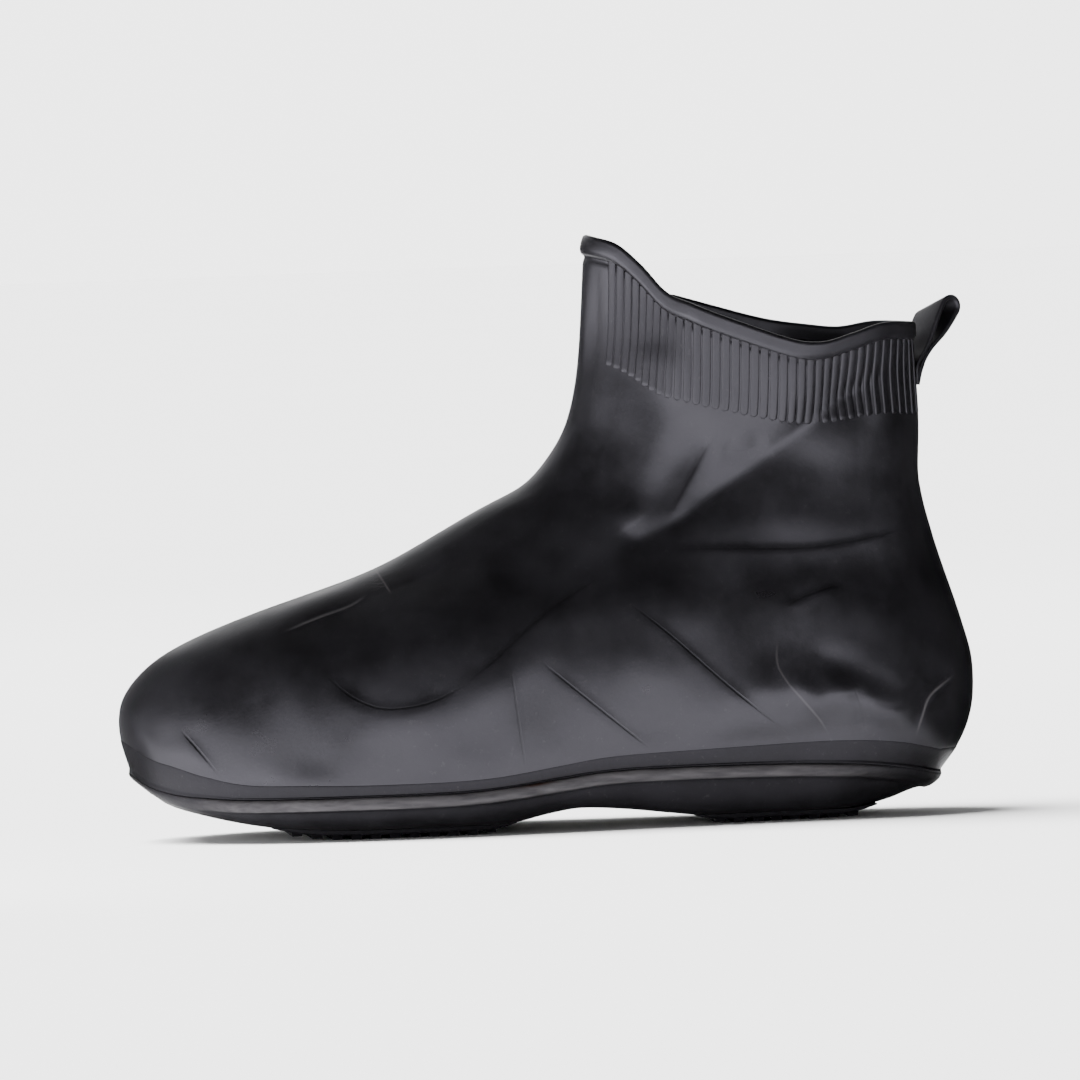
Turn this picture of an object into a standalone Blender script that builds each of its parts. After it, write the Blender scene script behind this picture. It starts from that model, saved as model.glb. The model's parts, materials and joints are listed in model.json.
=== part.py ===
"""Silicone shoe cover: a thin hollow overshoe on a dished sole, with a heel pull loop.

Metres, +Z up. The toe points to -X, and -Y is the outer side of this left-foot cover.
The origin is on the floor under the middle of the cover.
"""

import math
from collections import namedtuple

import bmesh
import bpy
import numpy as np

# Driving sizes
LENGTH = 0.300
HEIGHT = 0.205
BALL_WIDTH = 0.107

# The tables below are millimetres on a cover of this size, measured from the toe and the floor.
# ALONG, UP and ACROSS turn them into metres.
TABLE_LENGTH, TABLE_HEIGHT, TABLE_WIDTH = 300.0, 205.0, 107.0
MM = 0.001
ALONG = LENGTH / TABLE_LENGTH
UP = HEIGHT / TABLE_HEIGHT
ACROSS = BALL_WIDTH / TABLE_WIDTH

# Table point under the middle of the whole cover
ORIGIN_X, ORIGIN_Y = 150.0, 0.0

# Walls and gaps, in metres
WALL = 0.0013
CUFF_WALL = 0.0018
RIM_WALL = 0.0026
RAND_WALL = 0.0009
SOLE_FLOOR = 0.0024
GAP = 0.0003
AROUND = 76

# Half-widths are read at these shares of a level's own length.
WIDTH_AT = (0.10, 0.32, 0.56, 0.82)

# The inside of the upper, as slanting levels from the joint with the sole to the rim.
# nose and tail are the shares of the level that its round front and back ends take.
Level = namedtuple(
    "Level", "front_x front_z back_x back_z toe ball waist heel nose tail"
)
LEVELS = (
    Level(7.0, 23.5, 281.5, 13.5, 46.0, 49.0, 41.0, 34.5, 0.28, 0.17),
    Level(2.8, 36.0, 290.5, 23.0, 46.5, 50.0, 42.5, 36.5, 0.28, 0.17),
    Level(2.2, 45.0, 297.5, 34.0, 45.5, 50.5, 44.0, 38.5, 0.29, 0.17),
    Level(6.0, 54.5, 298.7, 45.0, 43.0, 49.5, 44.5, 39.0, 0.33, 0.18),
    Level(14.0, 62.0, 298.5, 54.0, 39.5, 47.0, 44.0, 38.5, 0.37, 0.19),
    Level(28.5, 69.3, 296.2, 63.0, 36.5, 44.5, 42.5, 37.5, 0.42, 0.20),
    Level(48.5, 76.8, 293.7, 72.0, 34.5, 42.0, 41.5, 36.5, 0.48, 0.22),
    Level(70.5, 83.8, 291.2, 80.0, 33.0, 40.0, 40.5, 35.5, 0.52, 0.25),
    Level(93.5, 91.3, 288.7, 88.0, 31.0, 38.0, 38.8, 34.0, 0.55, 0.29),
    Level(115.5, 101.8, 286.7, 95.0, 29.0, 36.0, 36.2, 32.0, 0.55, 0.33),
    Level(133.5, 110.8, 285.2, 101.0, 28.0, 34.0, 33.6, 30.0, 0.52, 0.37),
    Level(146.0, 118.2, 283.7, 107.0, 27.0, 32.0, 31.6, 28.6, 0.50, 0.41),
    Level(155.0, 128.2, 282.7, 113.0, 26.0, 30.5, 30.5, 28.0, 0.50, 0.43),
    Level(162.0, 139.5, 281.9, 120.0, 25.0, 30.0, 30.5, 28.0, 0.50, 0.45),
    Level(166.2, 157.0, 283.0, 135.0, 24.0, 30.0, 31.0, 29.0, 0.48, 0.46),
    Level(168.2, 176.0, 282.6, 150.0, 23.5, 30.0, 31.5, 29.5, 0.48, 0.46),
    Level(170.0, 198.5, 281.8, 165.0, 23.0, 30.0, 32.5, 30.0, 0.48, 0.46),
    Level(171.5, 205.0, 281.6, 171.0, 23.0, 30.0, 32.5, 30.0, 0.48, 0.46),
)
RAND_LEVEL = 1.0
SLANT_LEVEL = 4.5
HANG_LEVEL = 12.0
CUFF_LEVEL = 14.2
RIM_LEVEL = 16.0
TOP_LEVEL = 17.0
# The ribbed cuff leaves this share of the collar plain at its front.
CUFF_FRONT = 0.045
# The lowest share of the rand stands upright, so that the upper sits square on the sole.
TUCK = 0.2
# Rows up to the rand's top edge, shared by the rand and the upper behind it
RAND_ROWS = [0.0, TUCK, 0.6, RAND_LEVEL]
# Rows between the rand and the cuff, and the levels that each step of the wall takes
SIDE_ROWS = 16
STEP_LEVELS = 0.14

# Joint between the upper and the sole, seen from the side, and the height of the rand above it.
Station = namedtuple("Station", "x z")
FEATHER = tuple(
    Station(*row)
    for row in (
        (2.8, 27.5), (7, 23.5), (11, 20.2), (17, 17.4), (31, 15), (50, 14), (88, 14), (126, 15), (150, 18),
        (164, 20), (184, 21), (222, 21), (241, 20.5), (260, 19), (273, 16.5), (281.5, 13.5),
    )
)
RAND_HEIGHT = tuple(
    Station(*row)
    for row in (
        (2.8, 8.5), (7, 9.2), (17, 9.6), (28, 7.2), (38, 5), (64, 3.6), (121, 3.2), (155, 4.4), (212, 6.4),
        (251, 8.5), (275, 9.5), (293, 9.5),
    )
)

# Underside of the sole without its treads: toe spring, ball, arch and rounded heel.
UNDERSIDE = tuple(
    Station(*row)
    for row in (
        (3, 19), (12, 14), (27, 9.5), (38, 7), (50, 5), (66, 3.6), (84, 3), (127, 3),
        (135, 3.8), (147, 6.2), (158, 7.6), (175, 6.4), (190, 4.4), (204, 3), (250, 3),
        (262, 4.2), (273, 6.4), (283, 9.5),
    )
)

# Sideways swing of the foot's middle line, towards the inner side at the toe.
Swing = namedtuple("Swing", "x y")
SWING = tuple(
    Swing(*row)
    for row in (
        (0, 6), (30, 4.5), (60, 2), (90, 0), (125, -1.2), (160, -1.5), (200, -0.6), (240, 0),
        (300, 0),
    )
)

# How far the rim hangs below a straight line from its front to its back, by share of its length.
Hang = namedtuple("Hang", "share outer inner")
RIM_HANG = (
    Hang(0.00, 0.0, 0.0),
    Hang(0.08, 0.8, 0.8),
    Hang(0.14, 5.5, 5.0),
    Hang(0.20, 12.0, 10.5),
    Hang(0.30, 14.5, 13.5),
    Hang(0.45, 16.5, 14.0),
    Hang(0.60, 17.5, 13.5),
    Hang(0.70, 15.5, 11.5),
    Hang(0.80, 9.5, 8.0),
    Hang(0.90, 3.0, 3.0),
    Hang(1.00, 0.0, 0.0),
)

# Main folds of the slack ankle: troughs pushed in between two points of the side view.
Fold = namedtuple("Fold", "outer x1 z1 x2 z2 depth width")
FOLDS = (
    Fold(True, 181, 100, 258, 136, 6.0, 11),
    Fold(True, 200, 136, 181, 103, 3.5, 7),
    Fold(True, 193, 190, 186, 150, 3.0, 6),
    Fold(False, 184, 104, 250, 126, 5.0, 13),
    Fold(False, 194, 190, 187, 152, 2.5, 6),
)

# Section of the sole's edge, from the inside floor over the rim and bead to the underside.
# out is the distance outside the upper's inner face. A drop counts down from the joint, and a
# rise counts up from the underside.
Edge = namedtuple("Edge", "out drop rise")
SOLE_EDGE = (
    Edge(-5.0, None, 4.4),
    Edge(-0.6, 0.3, None),
    Edge(2.8, 0.3, None),
    Edge(3.9, 1.3, None),
    Edge(4.1, 2.6, None),
    Edge(3.4, 4.0, None),
    Edge(1.4, 4.7, None),
    Edge(-5.0, None, 0.9),
    Edge(-11.0, None, 0.0),
)
# Shares of the way from the middle line to the edge at which the floor and underside have rows
FLOOR_ROWS = (0.0, 0.5, 0.93)
UNDERSIDE_ROWS = (0.5, 0.0)

# Tread pads under the ball and the heel. Their cross bars hang below the underside by BAR_DEPTH,
# so that they stand on the floor where the underside is flat and curl up with it elsewhere.
Tread = namedtuple("Tread", "name first_x last_x inset")
TREADS = (
    Tread("forefoot_tread", 50.0, 136.0, 10.0),
    Tread("heel_tread", 197.0, 264.0, 9.0),
)
BAR_PITCH = 6.7
BAR_WIDTH = 3.9
BAR_DRAFT = 0.4
PAD_DEPTH = 1.5
BAR_DEPTH = 3.0

# Pull loop behind the collar, in metres: a folded strip on a short tab
LOOP_BASE_Z = 0.154
TAB_BOTTOM_Z = 0.141
TAB_THICK = 0.0034
STRIP_THICK = 0.0015
STRIP_WIDTH = 0.014
LOOP_REACH = 0.0200
LOOP_LEAN = math.radians(66)
LOOP_TIP_RADIUS = 0.0050
EYE_START = 0.0048
TIP_STEPS = 12
STRIP_COLUMNS = 6

# Colour, roughness and metallic value of each piece's rubber
Finish = namedtuple("Finish", "node colour roughness metallic")
FINISHES = (
    Finish("upper", (0.018, 0.018, 0.020), 0.45, 0.0),
    Finish("rand", (0.020, 0.020, 0.022), 0.48, 0.0),
    Finish("pull_loop", (0.018, 0.018, 0.020), 0.42, 0.0),
    Finish("outsole", (0.014, 0.014, 0.015), 0.52, 0.0),
    Finish("forefoot_tread", (0.012, 0.012, 0.012), 0.60, 0.0),
    Finish("heel_tread", (0.012, 0.012, 0.012), 0.60, 0.0),
)


def curve_through(keys, values):
    """A smooth function through the given values, level at each peak, dip and flat."""
    keys = np.asarray(keys, float)
    values = np.asarray(values, float)
    steps = np.diff(keys)
    slopes = np.diff(values) / steps
    tangents = np.empty_like(values)
    tangents[0], tangents[-1] = slopes[0], slopes[-1]
    mixed = (slopes[:-1] * steps[1:] + slopes[1:] * steps[:-1]) / (steps[:-1] + steps[1:])
    tangents[1:-1] = np.where(slopes[:-1] * slopes[1:] > 0, mixed, 0.0)

    def at(key):
        key = min(max(key, keys[0]), keys[-1])
        i = int(min(max(np.searchsorted(keys, key) - 1, 0), len(steps) - 1))
        t = (key - keys[i]) / steps[i]
        rise = values[i + 1] - values[i]
        start, end = tangents[i] * steps[i], tangents[i + 1] * steps[i]
        return values[i] + t * (start + t * (3 * rise - 2 * start - end + t * (start + end - 2 * rise)))

    return at


def column(rows, key, value):
    return curve_through([getattr(row, key) for row in rows], [getattr(row, value) for row in rows])


def smooth_step(value, low, high):
    t = min(max((value - low) / (high - low), 0.0), 1.0)
    return t * t * (3 - 2 * t)


def round_end(share):
    """A quarter ellipse from 0 at the end to 1 where the end meets the straight."""
    share = min(max(share, 0.0), 1.0)
    return math.sqrt(1 - (1 - share) ** 2)


LEVEL_OF = {
    name: curve_through(range(len(LEVELS)), [getattr(level, name) for level in LEVELS])
    for name in Level._fields
}
FEATHER_Z = column(FEATHER, "x", "z")
RAND_Z = column(RAND_HEIGHT, "x", "z")
UNDERSIDE_Z = column(UNDERSIDE, "x", "z")
SWING_Y = column(SWING, "x", "y")
RIM_HANG_OF = {side: column(RIM_HANG, "share", side) for side in ("outer", "inner")}


def fold_depth(x, z, outer):
    """How far the folds push the wall in at a point of the side view."""
    depth = 0.0
    for fold in FOLDS:
        if fold.outer != outer:
            continue
        run_x, run_z = fold.x2 - fold.x1, fold.z2 - fold.z1
        share = ((x - fold.x1) * run_x + (z - fold.z1) * run_z) / (run_x**2 + run_z**2)
        nearest = min(max(share, 0.0), 1.0)
        away = math.hypot(x - fold.x1 - nearest * run_x, z - fold.z1 - nearest * run_z)
        depth += fold.depth * math.exp(-((away / fold.width) ** 2))
    return depth


def rand_z(x):
    return FEATHER_Z(x) + RAND_Z(x)


def last_point(level, turn):
    """A point of the upper's inside, in table millimetres. turn runs from the toe along the outer side."""
    share = (1 - math.cos(turn)) / 2
    outer = math.sin(turn) >= 0
    plan = level
    if level < RAND_LEVEL:
        plan = max(level - TUCK, 0.0) / (RAND_LEVEL - TUCK)
    at = {name: curve(plan) for name, curve in LEVEL_OF.items()}
    x = at["front_x"] + share * (at["back_x"] - at["front_x"])
    if level <= RAND_LEVEL:
        z = FEATHER_Z(x) + level / RAND_LEVEL * RAND_Z(x)
    else:
        z = at["front_z"] + share * (at["back_z"] - at["front_z"])
        rand = LEVELS[int(RAND_LEVEL)]
        straight = rand.front_z + share * (rand.back_z - rand.front_z)
        z += (rand_z(x) - straight) * (1 - smooth_step(level, RAND_LEVEL, SLANT_LEVEL))
        hang = RIM_HANG_OF["outer" if outer else "inner"](share)
        z -= hang * smooth_step(level, HANG_LEVEL, RIM_LEVEL)
    widths = [at[name] for name in ("toe", "ball", "waist", "heel")]
    half = curve_through(WIDTH_AT, widths)(share)
    half *= round_end(share / at["nose"]) * round_end((1 - share) / at["tail"])
    half -= fold_depth(x, z, outer) * min(half / at["waist"], 1.0)
    middle = SWING_Y(x) * (1 - smooth_step(level, RAND_LEVEL, HANG_LEVEL))
    return np.array([x, middle + (-half if outer else half), z])


def placed(point):
    """Table millimetres to metres in the cover's own frame."""
    x, y, z = point
    return ((x - ORIGIN_X) * ALONG, (y - ORIGIN_Y) * ACROSS, z * UP)


def turns():
    return [2 * math.pi * i / AROUND for i in range(AROUND)]


def outward(level, turn, step=0.02):
    """The wall's outward direction, by differences of the last."""
    across = last_point(level, turn + step) - last_point(level, turn - step)
    here = last_point(level, turn)
    above = np.cross(across, last_point(level + step, turn) - here)
    direction = above / np.linalg.norm(above)
    if level > step:
        below = np.cross(across, here - last_point(level - step, turn))
        direction = direction + below / np.linalg.norm(below)
    return direction / np.linalg.norm(direction)


def last_row(level, out=0.0):
    """One closed row of the wall, moved outwards by out metres."""
    row = []
    for turn in turns():
        point = last_point(level, turn)
        if out:
            point = point + outward(level, turn) * (out / MM)
        row.append(placed(point))
    return row


def loft(name, rows, collection, caps=False):
    """A mesh object whose faces join closed rows of points in order."""
    mesh = bpy.data.meshes.new(name)
    shape = bmesh.new()
    made = [[shape.verts.new(point) for point in row] for row in rows]
    count = len(rows[0])
    for lower, upper in zip(made, made[1:]):
        for i in range(count):
            j = (i + 1) % count
            shape.faces.new((lower[i], lower[j], upper[j], upper[i]))
    if caps:
        shape.faces.new(reversed(made[0]))
        shape.faces.new(made[-1])
    bmesh.ops.remove_doubles(shape, verts=shape.verts, dist=1e-7)
    bmesh.ops.recalc_face_normals(shape, faces=shape.faces)
    shape.to_mesh(mesh)
    shape.free()
    mesh.shade_smooth()
    mesh.set_sharp_from_angle(angle=math.radians(40))
    obj = bpy.data.objects.new(name, mesh)
    collection.objects.link(obj)
    return obj


def thicken(obj, thickness, group=None):
    """Gives an open surface its wall, outwards from the last."""
    wall = obj.modifiers.new("wall", "SOLIDIFY")
    wall.thickness = thickness
    wall.offset = 1.0
    wall.use_quality_normals = True
    if group:
        wall.vertex_group = group
    return wall


def material(finish):
    made = bpy.data.materials.new(finish.node + "_rubber")
    made.use_nodes = True
    shader = made.node_tree.nodes["Principled BSDF"]
    shader.inputs["Base Color"].default_value = (*finish.colour, 1.0)
    shader.inputs["Roughness"].default_value = finish.roughness
    shader.inputs["Metallic"].default_value = finish.metallic
    return made


def upper_levels():
    """Levels of the upper's rows: close together at the sole and at both edges of the cuff."""
    side = list(np.linspace(1.6, CUFF_LEVEL - 0.8, SIDE_ROWS))
    cuff = [CUFF_LEVEL - STEP_LEVELS, CUFF_LEVEL, (CUFF_LEVEL + RIM_LEVEL) / 2]
    rim = [RIM_LEVEL - STEP_LEVELS, RIM_LEVEL, TOP_LEVEL]
    return RAND_ROWS + side + cuff + rim


def wall_at(level, turn):
    """Thickness of the upper: thin on the foot, a step at the ribbed cuff and another at the rim."""
    if level >= RIM_LEVEL:
        return RIM_WALL
    ribbed = (1 - math.cos(turn)) / 2 > CUFF_FRONT
    return CUFF_WALL if level >= CUFF_LEVEL and ribbed else WALL


def make_upper(collection):
    """The hollow upper, open at the collar and underneath."""
    levels = upper_levels()
    upper = loft("upper", [last_row(level) for level in levels], collection)
    group = upper.vertex_groups.new(name="wall")
    for row, level in enumerate(levels):
        for i, turn in enumerate(turns()):
            group.add([row * AROUND + i], wall_at(level, turn) / RIM_WALL, "REPLACE")
    thicken(upper, RIM_WALL, "wall")
    return upper


def make_rand(collection):
    """The foxing strip that covers the joint, highest at the toe and the heel."""
    rand = loft("rand", [last_row(level, WALL + GAP) for level in RAND_ROWS], collection)
    thicken(rand, RAND_WALL)
    return rand


def feather_line():
    """Points of the joint, and their outward directions seen from above."""
    points = np.array([last_point(0.0, turn) for turn in turns()])
    along = np.roll(points, -1, axis=0) - np.roll(points, 1, axis=0)
    out = np.stack([along[:, 1], -along[:, 0]], axis=1)
    out /= np.linalg.norm(out, axis=1)[:, None]
    if out[0, 0] > 0:
        out = -out
    return points, out


def sole_edge_row(edge, points, out):
    row = []
    for point, direction in zip(points, out):
        x, y = point[:2] + direction * edge.out
        z = point[2] - edge.drop if edge.drop is not None else UNDERSIDE_Z(x) + edge.rise
        row.append((x, y, z))
    return row


def sole_inner_row(outer_row, share, rise):
    """A row drawn in towards the sole's middle line, which it reaches at share 0."""
    row = []
    for i, (x, y, _) in enumerate(outer_row):
        other_x, other_y, _ = outer_row[-i % AROUND]
        middle_x, middle_y = (x + other_x) / 2, (y + other_y) / 2
        x, y = middle_x + share * (x - middle_x), middle_y + share * (y - middle_y)
        row.append((x, y, UNDERSIDE_Z(x) + rise))
    return row


def make_outsole(collection):
    """The dished sole: floor, upright edge and the bead round it."""
    points, out = feather_line()
    edge = [sole_edge_row(section, points, out) for section in SOLE_EDGE]
    floor_rise = SOLE_FLOOR / MM
    inside = [sole_inner_row(edge[0], share, floor_rise) for share in FLOOR_ROWS]
    underside = [sole_inner_row(edge[-1], share, 0.0) for share in UNDERSIDE_ROWS]
    rows = inside + edge + underside
    return loft("outsole", [[placed(point) for point in row] for row in rows], collection)


def tread_stations(tread):
    """Stations along a pad, with whether each is on a bar: two for each side of each bar."""
    count = int((tread.last_x - tread.first_x - BAR_WIDTH) // BAR_PITCH) + 1
    run = (count - 1) * BAR_PITCH + BAR_WIDTH
    start = (tread.first_x + tread.last_x - run) / 2
    stations = []
    for i in range(count):
        low = start + i * BAR_PITCH
        high = low + BAR_WIDTH
        stations += [(low, False), (low + BAR_DRAFT, True), (high - BAR_DRAFT, True), (high, False)]
    return stations


def sole_sides():
    """The joint's outer and inner side as functions of the distance from the toe."""
    points, _ = feather_line()
    half = AROUND // 2
    outer = points[: half + 1]
    inner = np.concatenate([points[half:], points[:1]])[::-1]
    return [curve_through(side[:, 0], side[:, 1]) for side in (outer, inner)]


def make_tread(tread, collection):
    """One pad with its cross bars."""
    outer_y, inner_y = sole_sides()
    rows = []
    for x, on_bar in tread_stations(tread):
        near, far = outer_y(x) + tread.inset, inner_y(x) - tread.inset
        top = UNDERSIDE_Z(x) - GAP / MM
        bottom = UNDERSIDE_Z(x) - (BAR_DEPTH if on_bar else PAD_DEPTH)
        rows.append([placed(p) for p in ((x, near, bottom), (x, far, bottom), (x, far, top), (x, near, top))])
    return loft(tread.name, rows, collection, caps=True)


def tangent_points(apex, centre, radius):
    """Where the two tangents from a point touch a circle, left and right of the way to it."""
    way = centre - apex
    lean = math.atan2(way[1], way[0])
    open_angle = math.acos(radius / np.linalg.norm(way))
    back = lean + math.pi
    return [back - open_angle, back + open_angle]


def tip_arc(centre, radius, start, end):
    if end > start:
        end -= 2 * math.pi
    angles = np.linspace(start, end, TIP_STEPS)
    return [centre + radius * np.array([math.cos(a), math.sin(a)]) for a in angles]


def collar_back(z):
    """The distance of the upper's outer face from the middle, behind the collar, at a height."""
    levels = np.linspace(HANG_LEVEL, RIM_LEVEL, 24)
    backs = [last_point(level, math.pi) for level in levels]
    x = curve_through([p[2] for p in backs], [p[0] for p in backs])(z / UP)
    return (x - ORIGIN_X) * ALONG + CUFF_WALL


def collar_curl():
    """How fast the collar's back curves away, as x in metres for each square metre of y."""
    level = LEVELS[int(CUFF_LEVEL)]
    run = (level.back_x - level.front_x) * ALONG
    return run * level.tail / (2 * (level.heel * ACROSS) ** 2)


def loop_outlines():
    """Side view of the loop on its tab: the outside, and the eye for a finger."""
    face = collar_back(TAB_BOTTOM_Z) + GAP
    face = max(face, collar_back(LOOP_BASE_Z) + GAP)
    base = np.array([face + TAB_THICK / 2, LOOP_BASE_Z])
    tip = base + LOOP_REACH * np.array([math.cos(LOOP_LEAN), math.sin(LOOP_LEAN)])
    inner_side = np.array([face, LOOP_BASE_Z])
    outer_side = np.array([face + TAB_THICK, LOOP_BASE_Z - STRIP_THICK])
    start = tangent_points(inner_side, tip, LOOP_TIP_RADIUS)[0]
    end = tangent_points(outer_side, tip, LOOP_TIP_RADIUS)[1]
    outside = [inner_side, *tip_arc(tip, LOOP_TIP_RADIUS, start, end), outer_side]
    outside += [np.array([face + TAB_THICK, TAB_BOTTOM_Z]), np.array([face, TAB_BOTTOM_Z])]
    eye_apex = base + EYE_START * np.array([math.cos(LOOP_LEAN), math.sin(LOOP_LEAN)])
    eye_radius = LOOP_TIP_RADIUS - STRIP_THICK
    start, end = tangent_points(eye_apex, tip, eye_radius)
    eye = [eye_apex, *tip_arc(tip, eye_radius, start, end)]
    return outside, eye, base


def make_pull_loop(collection):
    """The folded strip: its side view drawn across the cover, curved to the collar at the tab."""
    outside, eye, base = loop_outlines()
    outline = bpy.data.curves.new("pull_loop_outline", "CURVE")
    outline.dimensions = "2D"
    outline.fill_mode = "BOTH"
    outline.extrude = STRIP_WIDTH / 2
    for points in (outside, eye):
        spline = outline.splines.new("POLY")
        spline.points.add(len(points) - 1)
        for target, point in zip(spline.points, points):
            target.co = (*point, 0.0, 1.0)
        spline.use_cyclic_u = True
    guide = bpy.data.objects.new("pull_loop_outline", outline)
    guide.rotation_euler = (math.pi / 2, 0.0, 0.0)
    collection.objects.link(guide)
    bpy.context.view_layer.update()
    evaluated = guide.evaluated_get(bpy.context.evaluated_depsgraph_get())
    mesh = bpy.data.meshes.new_from_object(evaluated)
    mesh.transform(guide.matrix_world)
    bpy.data.objects.remove(guide)
    shape = bmesh.new()
    shape.from_mesh(mesh)
    bmesh.ops.remove_doubles(shape, verts=shape.verts, dist=1e-6)
    bmesh.ops.recalc_face_normals(shape, faces=shape.faces)
    for i in range(1, STRIP_COLUMNS):
        cut = (0.0, STRIP_WIDTH * (i / STRIP_COLUMNS - 0.5), 0.0)
        everything = shape.verts[:] + shape.edges[:] + shape.faces[:]
        bmesh.ops.bisect_plane(shape, geom=everything, plane_co=cut, plane_no=(0.0, 1.0, 0.0))
    for vert in shape.verts:
        straight = smooth_step(vert.co.z, base[1], base[1] + LOOP_REACH / 2)
        vert.co.x -= collar_curl() * vert.co.y**2 * (1 - straight)
    shape.to_mesh(mesh)
    shape.free()
    mesh.name = "pull_loop"
    loop = bpy.data.objects.new("pull_loop", mesh)
    collection.objects.link(loop)
    return loop


def clear_scene():
    for obj in list(bpy.data.objects):
        bpy.data.objects.remove(obj)


def main():
    clear_scene()
    collection = bpy.data.collections.new("shoe_cover")
    bpy.context.scene.collection.children.link(collection)
    make_upper(collection)
    make_rand(collection)
    make_pull_loop(collection)
    make_outsole(collection)
    for tread in TREADS:
        make_tread(tread, collection)
    for finish in FINISHES:
        bpy.data.objects[finish.node].data.materials.append(material(finish))


main()
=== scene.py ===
"""Looks of a black silicone shoe cover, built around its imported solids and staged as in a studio.

Tables are millimetres from the toe tip (x), the middle line (y) and the floor (z). Meshes are metres
in the cover's own frame: the toe points to -X, and -Y is the outer side of this left-foot cover.
"""

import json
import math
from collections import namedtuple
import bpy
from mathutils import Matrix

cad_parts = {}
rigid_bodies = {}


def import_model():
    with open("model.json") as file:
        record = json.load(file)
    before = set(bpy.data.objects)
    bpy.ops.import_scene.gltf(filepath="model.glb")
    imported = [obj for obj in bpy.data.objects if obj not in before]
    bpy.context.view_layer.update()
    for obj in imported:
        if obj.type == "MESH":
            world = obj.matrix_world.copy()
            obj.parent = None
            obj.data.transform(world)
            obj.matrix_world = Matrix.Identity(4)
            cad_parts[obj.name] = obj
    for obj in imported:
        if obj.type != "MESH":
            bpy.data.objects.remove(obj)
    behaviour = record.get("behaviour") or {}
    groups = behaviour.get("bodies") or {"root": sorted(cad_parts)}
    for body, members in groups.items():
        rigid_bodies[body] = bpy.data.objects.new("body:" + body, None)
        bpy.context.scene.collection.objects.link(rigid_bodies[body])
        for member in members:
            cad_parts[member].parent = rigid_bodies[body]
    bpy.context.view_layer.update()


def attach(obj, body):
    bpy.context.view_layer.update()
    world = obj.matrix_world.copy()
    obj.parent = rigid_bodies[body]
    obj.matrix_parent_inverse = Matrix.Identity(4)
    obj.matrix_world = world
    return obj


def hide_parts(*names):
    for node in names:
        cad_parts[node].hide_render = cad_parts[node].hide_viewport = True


bl_info = {
    "name": "Silicone shoe cover",
    "version": (1, 0, 0),
    "blender": (4, 5, 0),
    "location": "3D View > Sidebar > Shoe cover",
    "description": "Builds a black rubber shoe cover with ribbed cuff, beaded sole and pull loop",
    "category": "Object",
}

import bmesh
import bpy
import numpy as np
from mathutils import Matrix, Vector

for leftover in list(bpy.data.objects):
    bpy.data.objects.remove(leftover)
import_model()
BODY = "root"
MM = 0.001
ORIGIN_X = 150.0
TINY = 1e-9

# The inside of the upper, as slanting levels from the joint with the sole to the rim. Half-widths are
# read at shares of a level's length, and nose and tail are the shares that its round ends take.
WIDTH_AT = (0.10, 0.32, 0.56, 0.82)
Level = namedtuple("Level", "front_x front_z back_x back_z toe ball waist heel nose tail")
LEVELS = (
    Level(6.0, 23.5, 285.5, 13.5, 46.0, 49.0, 41.0, 34.5, 0.28, 0.17),
    Level(2.8, 36.0, 292.2, 23.0, 46.5, 50.0, 42.5, 36.5, 0.28, 0.17),
    Level(2.2, 45.0, 297.5, 34.0, 45.5, 50.5, 44.0, 38.5, 0.29, 0.17),
    Level(6.0, 54.5, 298.7, 45.0, 43.0, 49.5, 44.5, 39.0, 0.33, 0.18),
    Level(14.0, 62.0, 298.5, 54.0, 39.5, 47.0, 44.0, 38.5, 0.37, 0.19),
    Level(28.5, 69.3, 296.2, 63.0, 36.5, 44.5, 42.5, 37.5, 0.42, 0.20),
    Level(48.5, 76.8, 293.7, 72.0, 34.5, 42.0, 41.1, 36.1, 0.48, 0.22),
    Level(70.5, 83.8, 291.2, 80.0, 33.0, 40.0, 39.2, 34.2, 0.52, 0.25),
    Level(93.5, 91.3, 288.7, 88.0, 31.0, 38.0, 36.8, 32.0, 0.55, 0.29),
    Level(115.5, 103.0, 286.7, 95.0, 29.0, 36.0, 34.7, 30.7, 0.55, 0.33),
    Level(133.5, 112.5, 285.2, 101.0, 28.0, 34.0, 32.8, 29.4, 0.52, 0.37),
    Level(146.0, 118.2, 283.7, 107.0, 27.0, 32.0, 30.8, 28.0, 0.50, 0.41),
    Level(155.0, 128.2, 282.7, 113.0, 26.0, 30.5, 29.5, 27.0, 0.50, 0.43),
    Level(162.0, 139.5, 281.9, 120.0, 25.0, 30.0, 29.3, 26.8, 0.50, 0.45),
    Level(166.2, 157.0, 283.0, 135.0, 24.0, 30.0, 30.4, 28.3, 0.48, 0.46),
    Level(168.2, 176.0, 282.6, 150.0, 23.5, 30.0, 31.5, 29.5, 0.48, 0.46),
    Level(170.0, 198.5, 281.8, 165.0, 23.0, 30.0, 32.5, 30.0, 0.48, 0.46),
    Level(171.5, 205.0, 281.6, 171.0, 23.0, 30.0, 32.5, 30.0, 0.48, 0.46),
)
# Levels at which the plan leaves the joint's, the rand ends, the slant is full, the rim's hang starts,
# the cuff starts, the rim steps out, its roll starts and it would end
TUCK = 0.2
RAND_LEVEL = 1.0
SLANT_LEVEL = 4.5
HANG_LEVEL = 12.0
CUFF_LEVEL = 14.2
RIM_LEVEL = 16.0
ROLL_LEVEL = 16.8
TOP_LEVEL = 17.0
# Rows blend over this many levels to either side, weighted by a bell, and no more just under the rim
ROW_BLEND = 0.8
BLEND_STEPS = 7
BLEND_FALL = 2.0
BLEND_END = 0.2
LEAST_BLEND = 0.01

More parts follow.
